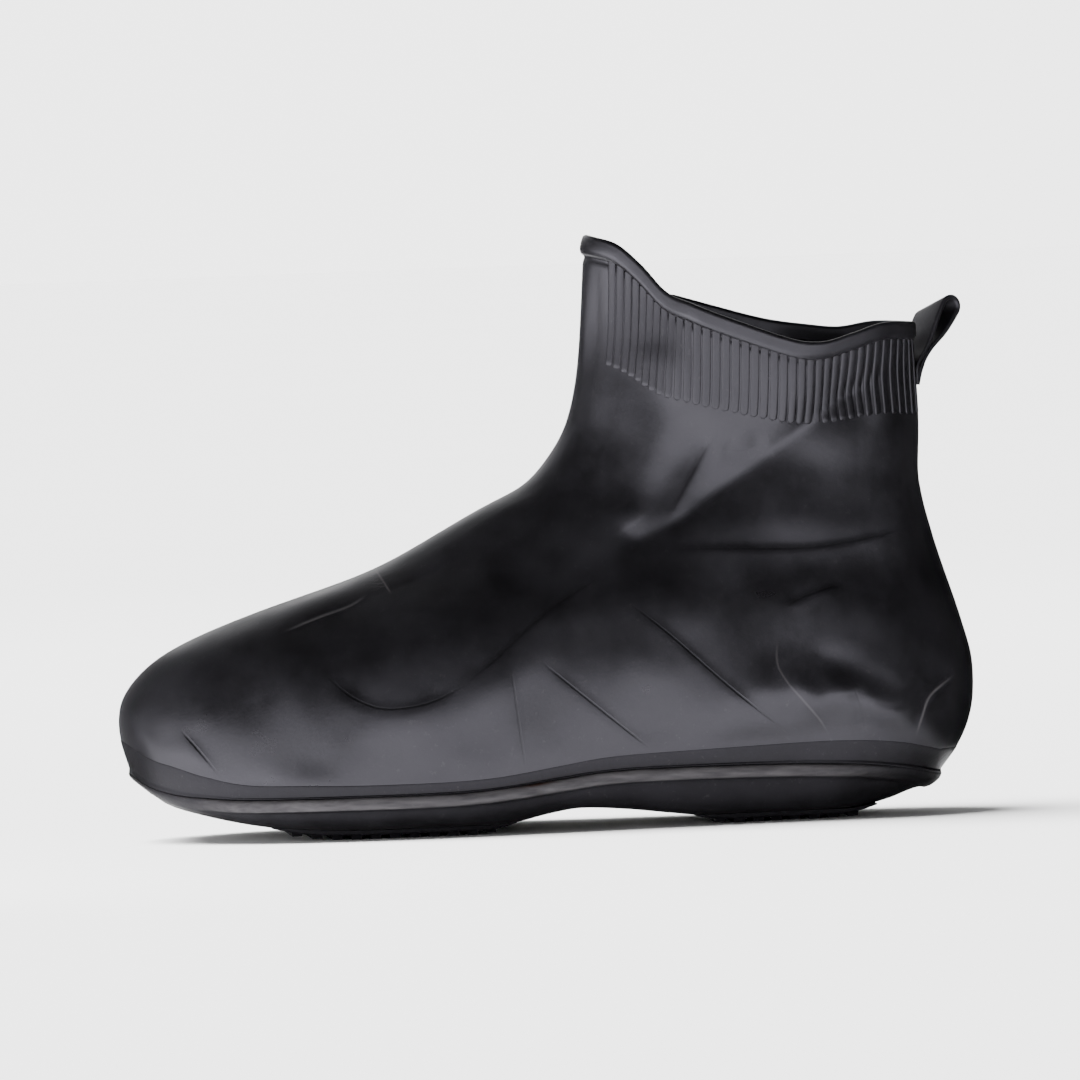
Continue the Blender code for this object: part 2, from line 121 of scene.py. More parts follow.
# Pairs of x and z: the joint with the sole, the rand's height over it, and the sole's underside
FEATHER = (
    (2.8, 27.5), (7, 23.5), (11, 20.4), (17, 18), (31, 16), (50, 15.2), (88, 15.2), (126, 16),
    (150, 18.6), (164, 20.2), (184, 20.8), (222, 20.4), (241, 19.8), (260, 18.4), (273, 16.3),
    (284.5, 13.5),
)
RAND_HEIGHT = (
    (2.8, 8.5), (7, 9.2), (17, 9.6), (28, 7.4), (38, 5.6), (64, 4.5), (121, 4.2), (155, 5),
    (212, 6.6), (251, 8.5), (275, 9.5), (293, 9.5),
)
UNDERSIDE = (
    (3, 19), (12, 14), (27, 9.5), (38, 7), (50, 5), (66, 3.6), (84, 3), (127, 3), (135, 3.8),
    (147, 6.2), (158, 7.6), (175, 6.4), (190, 4.4), (204, 3), (250, 3), (262, 4.2), (273, 6.4),
    (283, 9.5),
)
# Pairs of x and y: the middle line's swing to the inner side
SWING = (
    (0, 6), (30, 4.5), (60, 2), (90, 0), (125, -1.2), (160, -1.5), (200, -0.6), (240, 0), (300, 0),
)
# How far the rim hangs below a straight line from its front to its back
Hang = namedtuple("Hang", "share outer inner")
RIM_HANG = (
    Hang(0.00, 0.0, 0.0),
    Hang(0.08, 0.8, 0.8),
    Hang(0.14, 5.5, 5.0),
    Hang(0.20, 12.0, 11.5),
    Hang(0.30, 14.5, 12.3),
    Hang(0.45, 16.5, 12.3),
    Hang(0.60, 17.5, 11.8),
    Hang(0.70, 15.5, 10.2),
    Hang(0.80, 9.5, 8.0),
    Hang(0.90, 3.0, 3.0),
    Hang(1.00, 0.0, 0.0),
)
# The rim steps out over this share of its height, just above a groove of this depth
RIM_STEP = 0.22
RIM_GROOVE = 0.45
GROOVE_DROP = 0.05
GROOVE_SPREAD = 0.06
# Between these shares of the length the groove loses this share of its depth
GROOVE_FADE = 0.6
GROOVE_FADE_FROM = 0.68
GROOVE_FADE_TO = 0.85
# The roll on top rises by this share of the rim's thickness
ROLL_RISE = 0.5

# Creases of the slack rubber, given in the side view. A trough sinks, a gully is a trough that
# starts at its full depth, a valley is a gully with a sharp bottom, a ridge stands up, and a fold
# steps up across its path, which runs from the toe. line is the strength of its sharp edge: a positive
# one is painted with shade as a dark edge that looks up, and a negative one looks down and is drawn
# pale, partly wear and partly a painted highlight.
Crease = namedtuple("Crease", "kind width depth line path")
OUTER_CREASES = (
    Crease(
        "valley", 17, 8.5, 0.0,
        ((180, 100), (197, 108), (213, 118), (240, 134), (262, 149), (284, 163)),
    ),
    Crease("gully", 7, 1.9, 0.0, ((181, 104), (190, 119), (199, 130), (209, 143))),
    Crease("trough", 7, 1.0, 0.0, ((195, 204), (191, 180), (189, 160))),
    Crease("trough", 26, 2.1, 0.0, ((158, 176), (172, 177), (188, 176), (208, 172))),
    Crease("fold", 6.0, 0.35, 0.3, ((192, 109), (202, 124), (211, 138))),
    Crease("trough", 3.5, 0.7, 0.2, ((229, 132), (219, 129), (211, 131))),
    Crease("fold", 8.0, 0.5, 0.3, ((184, 98), (215, 96), (240, 95), (262, 97), (277, 100))),
    Crease("ridge", 11.0, 2.0, 0.0, ((190, 40), (215, 43), (240, 45), (262, 44), (284, 42))),
    Crease("trough", 12.0, 1.2, 0.0, ((172, 86), (200, 94), (232, 95), (258, 87), (279, 70))),
    Crease("ridge", 9.0, 1.2, 0.0, ((70, 50), (89, 40), (113, 44), (135, 56), (160, 74))),
    Crease("fold", 9.0, 0.5, 0.9, ((70, 58), (80, 49), (92, 45), (106, 47), (119, 53))),
    Crease("fold", 8.0, 0.35, 0.6, ((116, 52), (128, 60), (140, 70), (152, 79), (168, 89))),
    Crease("fold", 8.0, 0.22, 0.9, ((134, 58), (136, 38), (138, 20))),
    Crease("fold", 9.0, 0.3, 1.0, ((144, 60), (165, 42), (189, 22))),
    Crease("fold", 9.0, 0.35, 1.0, ((175, 80), (190, 67), (209, 49), (221, 39), (236, 27))),
    Crease("fold", 7.0, 0.3, -0.22, ((228, 64), (227, 57), (230, 49), (241, 36), (246, 28))),
    Crease(
        "ridge", 5.5, 1.5, 0.0,
        ((210, 46), (232, 46), (240, 42), (248, 44), (258, 41), (269, 38), (277, 32)),
    ),
    Crease("trough", 5.0, 1.0, 0.0, ((236, 58), (250, 54), (262, 47), (271, 38))),
    Crease("trough", 2.5, 0.8, 0.3, ((253, 47), (256, 38), (258, 28))),
    Crease("fold", 4.0, 0.5, -0.45, ((291, 49), (281, 42), (278, 36), (275, 27))),
    Crease("fold", 6.0, 0.6, 0.6, ((231, 75), (241, 79), (253, 82))),
    Crease("fold", 6.0, 0.4, 1.0, ((21, 40), (29, 30), (37, 19))),
    Crease("fold", 3.0, 0.2, -0.4, ((57, 71), (69, 75), (81, 79), (88, 83))),
    Crease("fold", 2.0, 0.1, -0.5, ((92, 91), (94, 87), (96, 83))),
)
INNER_CREASES = (
    Crease("gully", 13, 5.0, 0.0, ((184, 104), (217, 116), (256, 129))),
    Crease("trough", 6, 2.5, 0.0, ((196, 200), (190, 170), (185, 144))),
    Crease("trough", 20, 3.0, 0.0, ((178, 86), (206, 96), (240, 95), (268, 82), (286, 64))),
    Crease("trough", 3.0, 0.7, 0.3, ((186, 104), (217, 117), (248, 127))),
    Crease("ridge", 6.0, 1.2, 0.0, ((176, 156), (166, 137), (158, 124))),
    Crease("fold", 9.0, 0.6, 1.0, ((160, 74), (182, 54), (208, 28))),
    Crease("fold", 8.0, 0.35, 0.8, ((118, 62), (124, 42), (126, 20))),
    Crease("fold", 8.0, 0.6, 0.7, ((78, 56), (92, 47), (110, 48), (132, 62), (156, 82))),
    Crease("trough", 5.0, 1.0, 0.0, ((240, 70), (236, 54), (244, 36))),
    Crease("fold", 6.0, 0.5, -0.7, ((246, 66), (240, 52), (248, 34), (250, 26))),
    Crease("fold", 6.0, 0.25, 0.5, ((196, 97), (230, 93), (268, 95))),
    Crease("trough", 9.0, 1.5, 0.0, ((172, 82), (200, 90), (236, 86), (264, 76), (281, 62))),
    Crease("fold", 6.0, 0.4, 0.9, ((24, 42), (32, 31), (40, 19))),
)
# Sharpness of a fold's edge and of a valley's bottom
FOLD_EDGE = 1.1
VALLEY_ROUND = 0.02
# A sharp line is whole up to LINE_HOLD from its path, and gone at LINE_REACH
LINE_HOLD = 1.5
LINE_REACH = 4.0
# Share of a path that fades at an end, and how many points a path is drawn through
END_FADE = 0.25
CREASE_POINTS = 28
# Creases fade over these levels above the rand, and over this share of the width at the middle line
RAND_FADE = 0.8
MIDDLE_FADE = 0.35
# Faint long waves of rubber that nothing stretches, shifted on the inner side
Wave = namedtuple("Wave", "height along up phase shift")
WAVES = (
    Wave(0.28, 17.0, 23.0, 0.0, 2.1),
    Wave(0.22, 9.5, -13.0, 0.0, 2.73),
    Wave(0.12, 5.1, 6.3, 0.7, 2.1),
)

# Ribs: rounded foot rows and straight rows as shares of a rib, and how the round bar is pressed flat.
# A rib's middle lies RIB_SUNK deep in the wall, and RIB_SQUARE is the power that squares its section.
RIB_BOTTOM = CUFF_LEVEL + 0.05
RIB_TOP = RIM_LEVEL + 0.06
RIB_FOOT_SHARES = (0.0, 0.004, 0.01, 0.02, 0.035, 0.055, 0.09)
RIB_STRAIGHT = 0.13
RIB_ROWS = 14
RIB_SIDES = 20
RIB_TIP = 0.08
RIB_SUNK = 0.4
RIB_SQUARE = 0.5
# Lengths of the collar without ribs, at its front and its back
PLAIN_FRONT = 15.0
PLAIN_BACK = 1.6
COLLAR_POINTS = 600

# The rand thins by RAND_TAPER up to its top edge, which is rounded over to a back inside the wall
RAND_ROWS = 16
RAND_TAPER = 0.7
RAND_BACK = 0.9
RAND_BACK_STEP = 5
RandEdge = namedtuple("RandEdge", "level stand")
RAND_EDGE = (RandEdge(1.02, 1.36), RandEdge(1.04, 1.2), RandEdge(1.05, 0.9))

# Section of the sole's edge, from the inside floor over the rim and bead to the side. A drop counts
# down from the joint, and a rise counts up from the underside.
Edge = namedtuple("Edge", "out drop rise")
SOLE_EDGE = (
    Edge(-5.0, None, 4.4),
    Edge(-0.6, 0.3, None),
    Edge(-0.3, 0.05, None),
    Edge(2.7, 0.05, None),
    Edge(3.2, 0.15, None),
    Edge(3.7, 0.5, None),
    Edge(4.05, 1.1, None),
    Edge(4.15, 1.9, None),
    Edge(4.12, 2.7, None),
    Edge(3.9, 3.5, None),
    Edge(3.4, 4.1, None),
    Edge(2.7, 4.45, None),
    Edge(1.8, 4.6, None),
    Edge(1.2, 4.9, None),
)
# Below the bead the side runs down to the underside: out, share of the way down to a rise over it
Side = namedtuple("Side", "out share rise")
SOLE_SIDE = (
    Side(0.9, 0.15, 0.9),
    Side(0.2, 0.4, 0.9),
    Side(-1.2, 0.65, 0.9),
    Side(-3.0, 0.86, 0.9),
    Side(-5.0, 1.0, 0.9),
    Side(-8.0, 1.0, 0.35),
    Side(-11.0, 1.0, 0.0),
)
FLOOR_ROWS = (0.0, 0.3, 0.6, 0.93)
UNDERSIDE_ROWS = (0.75, 0.5, 0.25, 0.0)
SOLE_FLOOR = 2.4
# The bead is what stands out past BEAD_FOOT, and past BEAD_FACE it is pale, partly rubbed and
# partly a painted highlight. Pairs of x and the share that stands show how it runs out at the toe and
# the heel, where the edge tucks in instead.
BEAD_FOOT = 2.2
BEAD_FACE = 3.1
BEAD_SHARE = (
    (0, 0.0), (10, 0.0), (22, 0.2), (45, 1.0), (240, 1.0), (262, 0.3), (276, 0.0), (285, 0.0),
)
END_TUCK = 5.0
Ripple = namedtuple("Ripple", "height length shift")
BEAD_RIPPLES = (Ripple(0.10, 7.0, 1.0), Ripple(0.06, 2.9, 0.0))
# A brown trace of glue lies in the groove over the bead, in these rows of the edge
GROOVE_ROWS = (3, 4, 5)
STAIN_X = 141.0
STAIN_LENGTH = 5.0

Tread = namedtuple("Tread", "name first_x last_x inset")
TREADS = (
    Tread("forefoot_tread", 50.0, 136.0, 10.0),
    Tread("heel_tread", 197.0, 264.0, 9.0),
)
BAR_PITCH = 6.7
BAR_WIDTH = 3.9
BAR_DEPTH = 3.0
PAD_DEPTH = 1.5
PAD_SUNK = 0.2
PAD_EDGE = 0.5
PAD_ROWS = 60
PAD_SHARP = math.radians(35)
# The depth runs out over this length at a pad's ends, from a little outside it
RUN_OUT = 14.0
RUN_OUT_LEAD = 4.0
# A bar has cleats from this share of the depth on; bars are shifted in turn by a share of the spare
CLEAT_START = 0.6
CLEAT_RISE = 3.0
CLEAT_MARGIN = 0.8
CLEAT_SHIFT = 0.4
CLEAT_ROOT = 0.3
CLEAT_DRAFT = 0.08
SIDE_POINTS = 160

# Side view of the pull loop: its foot on the collar, its lean, reach and tip
COLLAR_WALL = 1.3
LOOP_BASE_Z = 156.0
TAB_BOTTOM_Z = 149.0
LOOP_REACH = 24.0
LOOP_LEAN = math.radians(56)
LOOP_TIP_RADIUS = 4.3
# Its far edge is shorter by LOOP_SLOPE. Its eye opens at EYE_START and is widest at a share of the
# reach, where it has a share of the tip's width. The tip bends by TIP_TURN to either side.
LOOP_SLOPE = 0.24
EYE_START = 7.0
EYE_WIDEST = 0.62
EYE_WIDTH = 0.72
TIP_TURN = 1.75
TIP_POINTS = 13
LOOP_POINTS = 110
# The strip leaves the collar this far under the base. Its outer end laps over, in half thicknesses.
TAB_LEAVE = 2.0
LAP_OUT = 2.2
LAP_DROP = 3.0
LAP_END = 1.2
LAP_SHORT = 1.0
STRIP_CORNER = 0.42
CORNER_POINTS = 4
BACK_STEPS = 24

# Density of the fine meshes
COLUMNS = 400
COLUMN_SPREAD = 0.2
OUTER_ROWS = 150
RIM_ROWS = 24
RIM_FOOT = 0.25
ROW_STEP = 0.01
INNER_ROWS = 48
ROLL_ROWS = 9
LIP_ROWS = 2
SOLE_COLUMNS = 300
# Rows that meet on the sole's middle line are merged within this many metres
MERGE = 1e-7

# Silicone and rubber come out of the mould black right through. Their own IOR is about 1.4 to 1.5, and
# a lower one stands for a skin whose gloss is broken. grain is the strength of the pores.
Rubber = namedtuple("Rubber", "name roughness grain dust ior")
# Moulded smooth: satin, with long soft lights that follow each crease
UPPER_RUBBER = Rubber("moulded silicone", 0.33, 0.12, 0.08, 1.48)
# Left unpolished inside: matt, so that the collar's mouth looks black
LINING_RUBBER = Rubber("matt silicone lining", 0.8, 0.3, 0.1, 1.2)
# Moulded with the cuff and dulled by pulling, so that the ribs show as soft lines
RIB_RUBBER = Rubber("moulded silicone ribs", 0.40, 0.2, 0.12, 1.48)
# Cut from a sheet: a little duller than the upper, so that it shows as a band
RAND_RUBBER = Rubber("silicone strip", 0.45, 0.25, 0.12, 1.34)
# Filled rubber for wear: dull and dark on the side, pale on the bead, which is rubbed and has a
# painted highlight
SOLE_RUBBER = Rubber("moulded sole rubber", 0.55, 0.35, 0.1, 1.25)
# The roughest mould: matt, with dust in its pores
TREAD_RUBBER = Rubber("moulded tread rubber", 0.62, 0.4, 0.15, 1.25)
# Folded from a strip and handled most: satin, with the most dust
LOOP_RUBBER = Rubber("silicone loop strip", 0.40, 0.25, 0.2, 1.48)

# Patterns of the rubber in millimetres: patches dulled by hands, specks of dust, pores and streaks
# along the bead's pale face, which is rubbed and painted with a highlight. Real pores are far finer,
# and are drawn this coarse so that they show.
PATCH_SIZE = 30.0
SPECK_SIZE = 2.2
PORE_SIZE = 1.1
STREAK_SIZE = 1.6
STREAK_STRETCH = (0.12, 0.6, 1.0)
PORE_DEPTH = 0.2
CUT_DEPTH = 0.4
CUT_STRENGTH = 0.28
# A pale crease line takes this share of the pale colour: partly wear, partly a painted highlight
PALE_SHARE = 0.35
# What the patterns' values are turned into; a line's are millimetres from its path
HANDLED = {"From Min": 0.36, "From Max": 0.64}
SPECKED = {"From Min": 0.60, "From Max": 0.80}
DULLED = {"From Min": 0.3, "From Max": 0.75}
LINED = {"From Min": 0.05, "From Max": 0.65, "To Min": 1.0, "To Max": 0.0}
STREAKED = {"From Min": 0.3, "From Max": 0.7, "To Min": 0.4, "To Max": 1.0}
# Roughness runs from this much under the rubber's own to this much over it
SMOOTHER = 0.07
ROUGHER = 0.14

# Matt studio paint, with clouds of this many millimetres that keep this share of its lightness
PAINT_CLOUDS = 400.0
PAINT_DARKER = 0.97
PAINT_ROUGHNESS = 0.9
PAINT_GLOSS = 0.1
FLOOR_RADIUS = 14.0
FLOOR_SEGMENTS = 96
FLOOR_LIGHT = 15.0
FLOOR_LIGHT_ANGLE = math.radians(45)
FLOOR_LIGHT_HEIGHT = 2.0
FLOOR_LIGHT_AIM = (0.5, -0.15, -1.0)
Softbox = namedtuple("Softbox", "name place target size power")
SOFTBOXES = (
    Softbox("back softbox", (-0.6, 1.5, 1.15), (0.0, 0.0, 0.1), (3.2, 1.0), 15.0),
    Softbox("toe softbox", (-0.36, -0.20, 0.10), (-0.12, -0.04, 0.05), (0.30, 0.18), 0.5),
)
# Light of the studio air by height (the sine of the elevation): a pale horizon as bright as the
# floor, soft light above it, and a dark ceiling that leaves the slopes black
AirBand = namedtuple("AirBand", "height light")
AIR_BANDS = (
    AirBand(0.00, 3.88),
    AirBand(0.03, 3.88),
    AirBand(0.08, 2.40),
    AirBand(0.17, 0.90),
    AirBand(0.34, 0.42),
    AirBand(0.50, 0.16),
    AirBand(0.64, 0.10),
    AirBand(1.00, 0.06),
)
AIR_PEAK = 3.88
# The air is darker towards the heel, by half as much at the horizon
HEEL_SIDE = {"From Min": 0.10, "From Max": 0.48, "To Min": 1.0, "To Max": 0.22}
OVER_HORIZON = {"From Min": 0.01, "From Max": 0.05, "To Min": 0.5, "To Max": 1.0}
# Dark cards lie and stand beside the set, seen only in the rubber's gloss, where they paint shade into its
# reflections: from x to x, near and far end, height, in metres
Card = namedtuple("Card", "name inner outer near far height colour")
CARDS = (
    Card("toe_card", -0.17, -0.24, 0.0, 2.2, 0.30, "#7C7C7E"),
    Card("heel_card", 0.17, 0.30, -0.20, 2.2, 0.45, "#19191A"),
)
CARD_LIFT = 0.0005

# Camera: the photo's low view of the outer side, toe towards the camera, rolled so the toe dips
CAMERA_YAW = math.radians(5)
CAMERA_RISE = math.radians(1.9)
CAMERA_ROLL = math.radians(-2.1)
CAMERA_DISTANCE = 5.0
CAMERA_LENS = 478.0
CAMERA_TARGET = (0.0, 0.0, 0.100)
CAMERA_SIGHT = 100.0


def linear(hex_colour):
    """An sRGB hex colour as linear RGBA."""
    parts = [int(hex_colour[i : i + 2], 16) / 255 for i in (1, 3, 5)]
    return [c / 12.92 if c <= 0.04045 else ((c + 0.055) / 1.055) ** 2.4 for c in parts] + [1.0]


def length_property(name, description, default):
    return bpy.props.FloatProperty(
        name=name, description=description, default=default, min=0.0, unit="LENGTH", subtype="DISTANCE"
    )


def colour_property(name, description, default):
    return bpy.props.FloatVectorProperty(
        name=name,
        description=description,
        default=linear(default),
        size=4,
        min=0.0,
        max=1.0,
        subtype="COLOR",
    )


class ShoeCoverSizes(bpy.types.PropertyGroup):
    """Sizes of the cover's finer shapes."""

    wall: length_property("Wall", "Rubber thickness of the foot and ankle", 0.0013)
    rim_wall: length_property("Rim", "Thickness of the raised rim round the collar", 0.0027)
    rand_wall: length_property("Rand", "How far the rand stands out from the upper's inner face", 0.0021)
    rib_pitch: length_property("Rib pitch", "Distance between the ribs of the cuff", 0.0035)
    rib_width: length_property("Rib width", "Width of one rib of the cuff", 0.0029)
    rib_height: length_property("Rib height", "How far a rib stands out from the wall", 0.00032)
    cleat_length: length_property("Cleat length", "Length of one tread block across the sole", 0.0085)
    cleat_gap: length_property("Cleat gap", "Gap between two tread blocks of a bar", 0.0022)
    strip: length_property("Loop strip", "Thickness of the pull loop's strip", 0.0018)
    strip_width: length_property("Loop width", "Width of the pull loop's strip", 0.014)
    loop_turn: bpy.props.FloatProperty(
        name="Loop turn",
        description="How far the loop sits round the collar",
        default=math.radians(31),
        subtype="ANGLE",
    )


class ShoeCoverColours(bpy.types.PropertyGroup):
    """Colours of the rubber and the stage."""

    rubber: colour_property("Rubber", "Clean black silicone", "#0C0B0D")
    worn: colour_property("Worn rubber", "Rubber that is dulled by handling", "#19181B")
    # Painted shade: dark crease lines take this colour in place of the shade that falls into a sharp crease
    crease: colour_property("Crease", "Dark bottom of a sharp crease", "#070707")
    # Partly rubbed wear and partly a painted highlight on the bead's proud face
    rubbed_and_highlit: colour_property("Rubbed bead", "Bead of the sole, rubbed pale", "#4A484A")
    # Real dust, and also the pale crease lines, which are partly a painted highlight
    dust: colour_property("Dust", "Pale bloom in creases and on edges", "#8A8688")
    brown: colour_property("Stain", "Brown trace of old glue", "#2E211C")
    gloss: colour_property("Gloss", "Cool tint of the rubber's gloss", "#F3F0FF")
    floor: colour_property("Floor", "Pale studio floor", "#F2F2F2")


def curve_through(keys, values):
    """A smooth function through the given values, level at each peak, dip and flat."""
    keys = np.asarray(keys, float)
    values = np.asarray(values, float)
    steps = np.diff(keys)
    slopes = np.diff(values) / steps
    tangents = np.empty_like(values)
    tangents[0], tangents[-1] = slopes[0], slopes[-1]
    mixed = (slopes[:-1] * steps[1:] + slopes[1:] * steps[:-1]) / (steps[:-1] + steps[1:])
    tangents[1:-1] = np.where(slopes[:-1] * slopes[1:] > 0, mixed, 0.0)

    def at(key):
        key = np.clip(key, keys[0], keys[-1])
        i = np.clip(np.searchsorted(keys, key) - 1, 0, len(steps) - 1)
        t = (key - keys[i]) / steps[i]
        rise = values[i + 1] - values[i]
        start, end = tangents[i] * steps[i], tangents[i + 1] * steps[i]
        return values[i] + t * (start + t * (3 * rise - 2 * start - end + t * (start + end - 2 * rise)))

    return at


def smooth_step(value, low, high):
    t = np.clip((value - low) / (high - low), 0.0, 1.0)
    return t * t * (3 - 2 * t)


def round_end(share):
    """A quarter ellipse from 0 at the end to 1 where the end meets the straight."""
    return np.sqrt(1 - (1 - np.clip(share, 0.0, 1.0)) ** 2)


def path_run(points):
    """Distance along a line of points, from 0 at its start."""
    return np.concatenate([[0.0], np.cumsum(np.linalg.norm(np.diff(points, axis=0), axis=1))])


LEVEL_OF = {
    name: curve_through(range(len(LEVELS)), [getattr(level, name) for level in LEVELS])
    for name in Level._fields
}
HANG_OF = {
    side: curve_through([row.share for row in RIM_HANG], [getattr(row, side) for row in RIM_HANG])
    for side in ("outer", "inner")
}
feather_z, rand_rise, underside_z, swing_y, bead_share = (
    curve_through(*zip(*pairs)) for pairs in (FEATHER, RAND_HEIGHT, UNDERSIDE, SWING, BEAD_SHARE)
)


def column_turns(count):
    """Turns round the foot, 0 at the toe and a half turn at the heel, closest along the sides."""
    even = np.arange(count) * 2 * math.pi / count
    return even + COLUMN_SPREAD * np.sin(2 * even)


def last_row(level, turn):
    """One row of the upper's inside, without folds, in table millimetres."""
    share = (1 - np.cos(turn)) / 2
    outer = np.sin(turn) >= 0
    plan = level
    if level < RAND_LEVEL:
        plan = max(level - TUCK, 0.0) / (RAND_LEVEL - TUCK)
    at = {name: float(curve(plan)) for name, curve in LEVEL_OF.items()}
    x = at["front_x"] + share * (at["back_x"] - at["front_x"])
    if level <= RAND_LEVEL:
        z = feather_z(x) + level / RAND_LEVEL * rand_rise(x)
    else:
        z = at["front_z"] + share * (at["back_z"] - at["front_z"])
        rand = LEVELS[int(RAND_LEVEL)]
        straight = rand.front_z + share * (rand.back_z - rand.front_z)
        rand_line = feather_z(x) + rand_rise(x)
        z = z + (rand_line - straight) * (1 - smooth_step(level, RAND_LEVEL, SLANT_LEVEL))
        hang = np.where(outer, HANG_OF["outer"](share), HANG_OF["inner"](share))
        z = z - hang * smooth_step(level, HANG_LEVEL, RIM_LEVEL)
    half = curve_through(WIDTH_AT, [at[name] for name in ("toe", "ball", "waist", "heel")])(share)
    half = half * round_end(share / at["nose"]) * round_end((1 - share) / at["tail"])
    middle = swing_y(x) * (1 - smooth_step(level, RAND_LEVEL, HANG_LEVEL))
    return np.stack([x, middle + np.where(outer, -half, half), z], axis=1)


def soft_row(level, turn):
    """A row blended with those just above and below it, so that no level shows as a line."""
    reach = ROW_BLEND * smooth_step(level, RAND_LEVEL, RAND_LEVEL + 1)
    reach *= 1 - smooth_step(level, RIM_LEVEL - 1, RIM_LEVEL - BLEND_END)
    if reach < LEAST_BLEND:
        return last_row(level, turn)
    steps = np.linspace(-1.0, 1.0, BLEND_STEPS)
    weights = np.exp(-BLEND_FALL * steps**2)
    rows = [last_row(level + reach * step, turn) for step in steps]
    return np.tensordot(weights / weights.sum(), rows, axes=1)


def last_grid(levels, turn):
    return np.array([soft_row(level, turn) for level in levels])


def grid_normals(grid):
    """Outward unit normals of rows that close round the foot."""
    across = np.roll(grid, -1, axis=1) - np.roll(grid, 1, axis=1)
    rise = np.gradient(grid, axis=0)
    normals = np.cross(across, rise)
    return normals / np.linalg.norm(normals, axis=2, keepdims=True)


def path_points(path):
    """A smooth run of points through a crease's few given ones."""
    keys = np.arange(len(path))
    at = np.linspace(0, len(path) - 1, CREASE_POINTS)
    return np.stack([curve_through(keys, [p[i] for p in path])(at) for i in (0, 1)], axis=1)


def path_distance(x, z, path):
    """Signed distance of points from a path in the side view, and the share of the way along it."""
    points = path_points(path)
    starts, runs = points[:-1], np.diff(points, axis=0)
    best = np.full(x.shape, np.inf)
    signed = np.zeros(x.shape)
    along = np.zeros(x.shape)
    for i, (start, run) in enumerate(zip(starts, runs)):
        dx, dz = x - start[0], z - start[1]
        share = np.clip((dx * run[0] + dz * run[1]) / (run @ run), 0.0, 1.0)
        away = np.hypot(dx - share * run[0], dz - share * run[1])
        closer = away < best
        best = np.where(closer, away, best)
        signed = np.where(closer, np.copysign(away, run[0] * dz - run[1] * dx), signed)
        along = np.where(closer, (i + share) / len(runs), along)
    return signed, along


def crease_shape(crease, signed):
    """Height of a crease across its path, as a share of its depth."""
    spread = signed / crease.width
    if crease.kind == "fold":
        return -np.sign(crease.line) * np.tanh(signed / FOLD_EDGE) * np.exp(-np.abs(spread))
    if crease.kind == "valley":
        return -np.exp(-np.sqrt(spread**2 + VALLEY_ROUND))
    return np.exp(-(spread**2)) * (1 if crease.kind == "ridge" else -1)


def crease_relief(x, z, outer):
    """Height of the creases in millimetres, with their sharp lines' distance and strength."""
    relief = np.zeros(x.shape)
    line = np.full(x.shape, np.inf)
    strength = np.zeros(x.shape)
    for creases, side in ((OUTER_CREASES, outer), (INNER_CREASES, ~outer)):
        for crease in creases:
            signed, along = path_distance(x, z, crease.path)
            fade = smooth_step(1 - along, 0.0, END_FADE)
            if crease.kind not in ("gully", "valley"):
                fade = fade * smooth_step(along, 0.0, END_FADE)
            relief += np.where(side, crease.depth * crease_shape(crease, signed) * fade, 0.0)
            nearer = side & (np.abs(signed) < np.abs(line)) & (crease.line != 0)
            line = np.where(nearer, signed, line)
            strength = np.where(nearer, crease.line * fade, strength)
    line = np.clip(line, -LINE_REACH, LINE_REACH)
    return relief, line, strength * (1 - smooth_step(np.abs(line), LINE_HOLD, LINE_REACH))


def slackness(x, z, outer):
    """Height of the faint waves in millimetres."""
    height = np.zeros(x.shape)
    for wave in WAVES:
        phase = wave.phase + np.where(outer, 0.0, wave.shift)
        height += wave.height * np.sin(x / wave.along + z / wave.up + phase)
    return height


def placed(points):
    """Table millimetres to metres in the cover's own frame."""
    points = np.asarray(points, float)
    return (points - np.array([ORIGIN_X, 0.0, 0.0])) * MM


def skin(levels, turn):
    """The upper's inner face with its folds: points, normals, sharp lines and their strength."""
    grid = last_grid(levels, turn)
    normals = grid_normals(grid)
    x, z = grid[..., 0], grid[..., 2]
    outer = np.broadcast_to(np.sin(turn) >= 0, x.shape)
    relief, line, strength = crease_relief(x, z, outer)
    keep = smooth_step(np.asarray(levels)[:, None], RAND_LEVEL, RAND_LEVEL + RAND_FADE)
    keep = keep * smooth_step(np.abs(np.sin(turn))[None, :], 0.0, MIDDLE_FADE)
    relief = (relief + slackness(x, z, outer)) * keep
    return grid + normals * relief[..., None], normals, line, strength * keep


def new_object(name, data):
    """A new object of the scene, at the origin."""
    obj = bpy.data.objects.new(name, data)
    bpy.context.scene.collection.objects.link(obj)
    return obj


def add_attribute(mesh, name, values):
    attribute = mesh.attributes.new(name, "FLOAT", "POINT")
    attribute.data.foreach_set("value", np.asarray(values, np.float32).ravel())


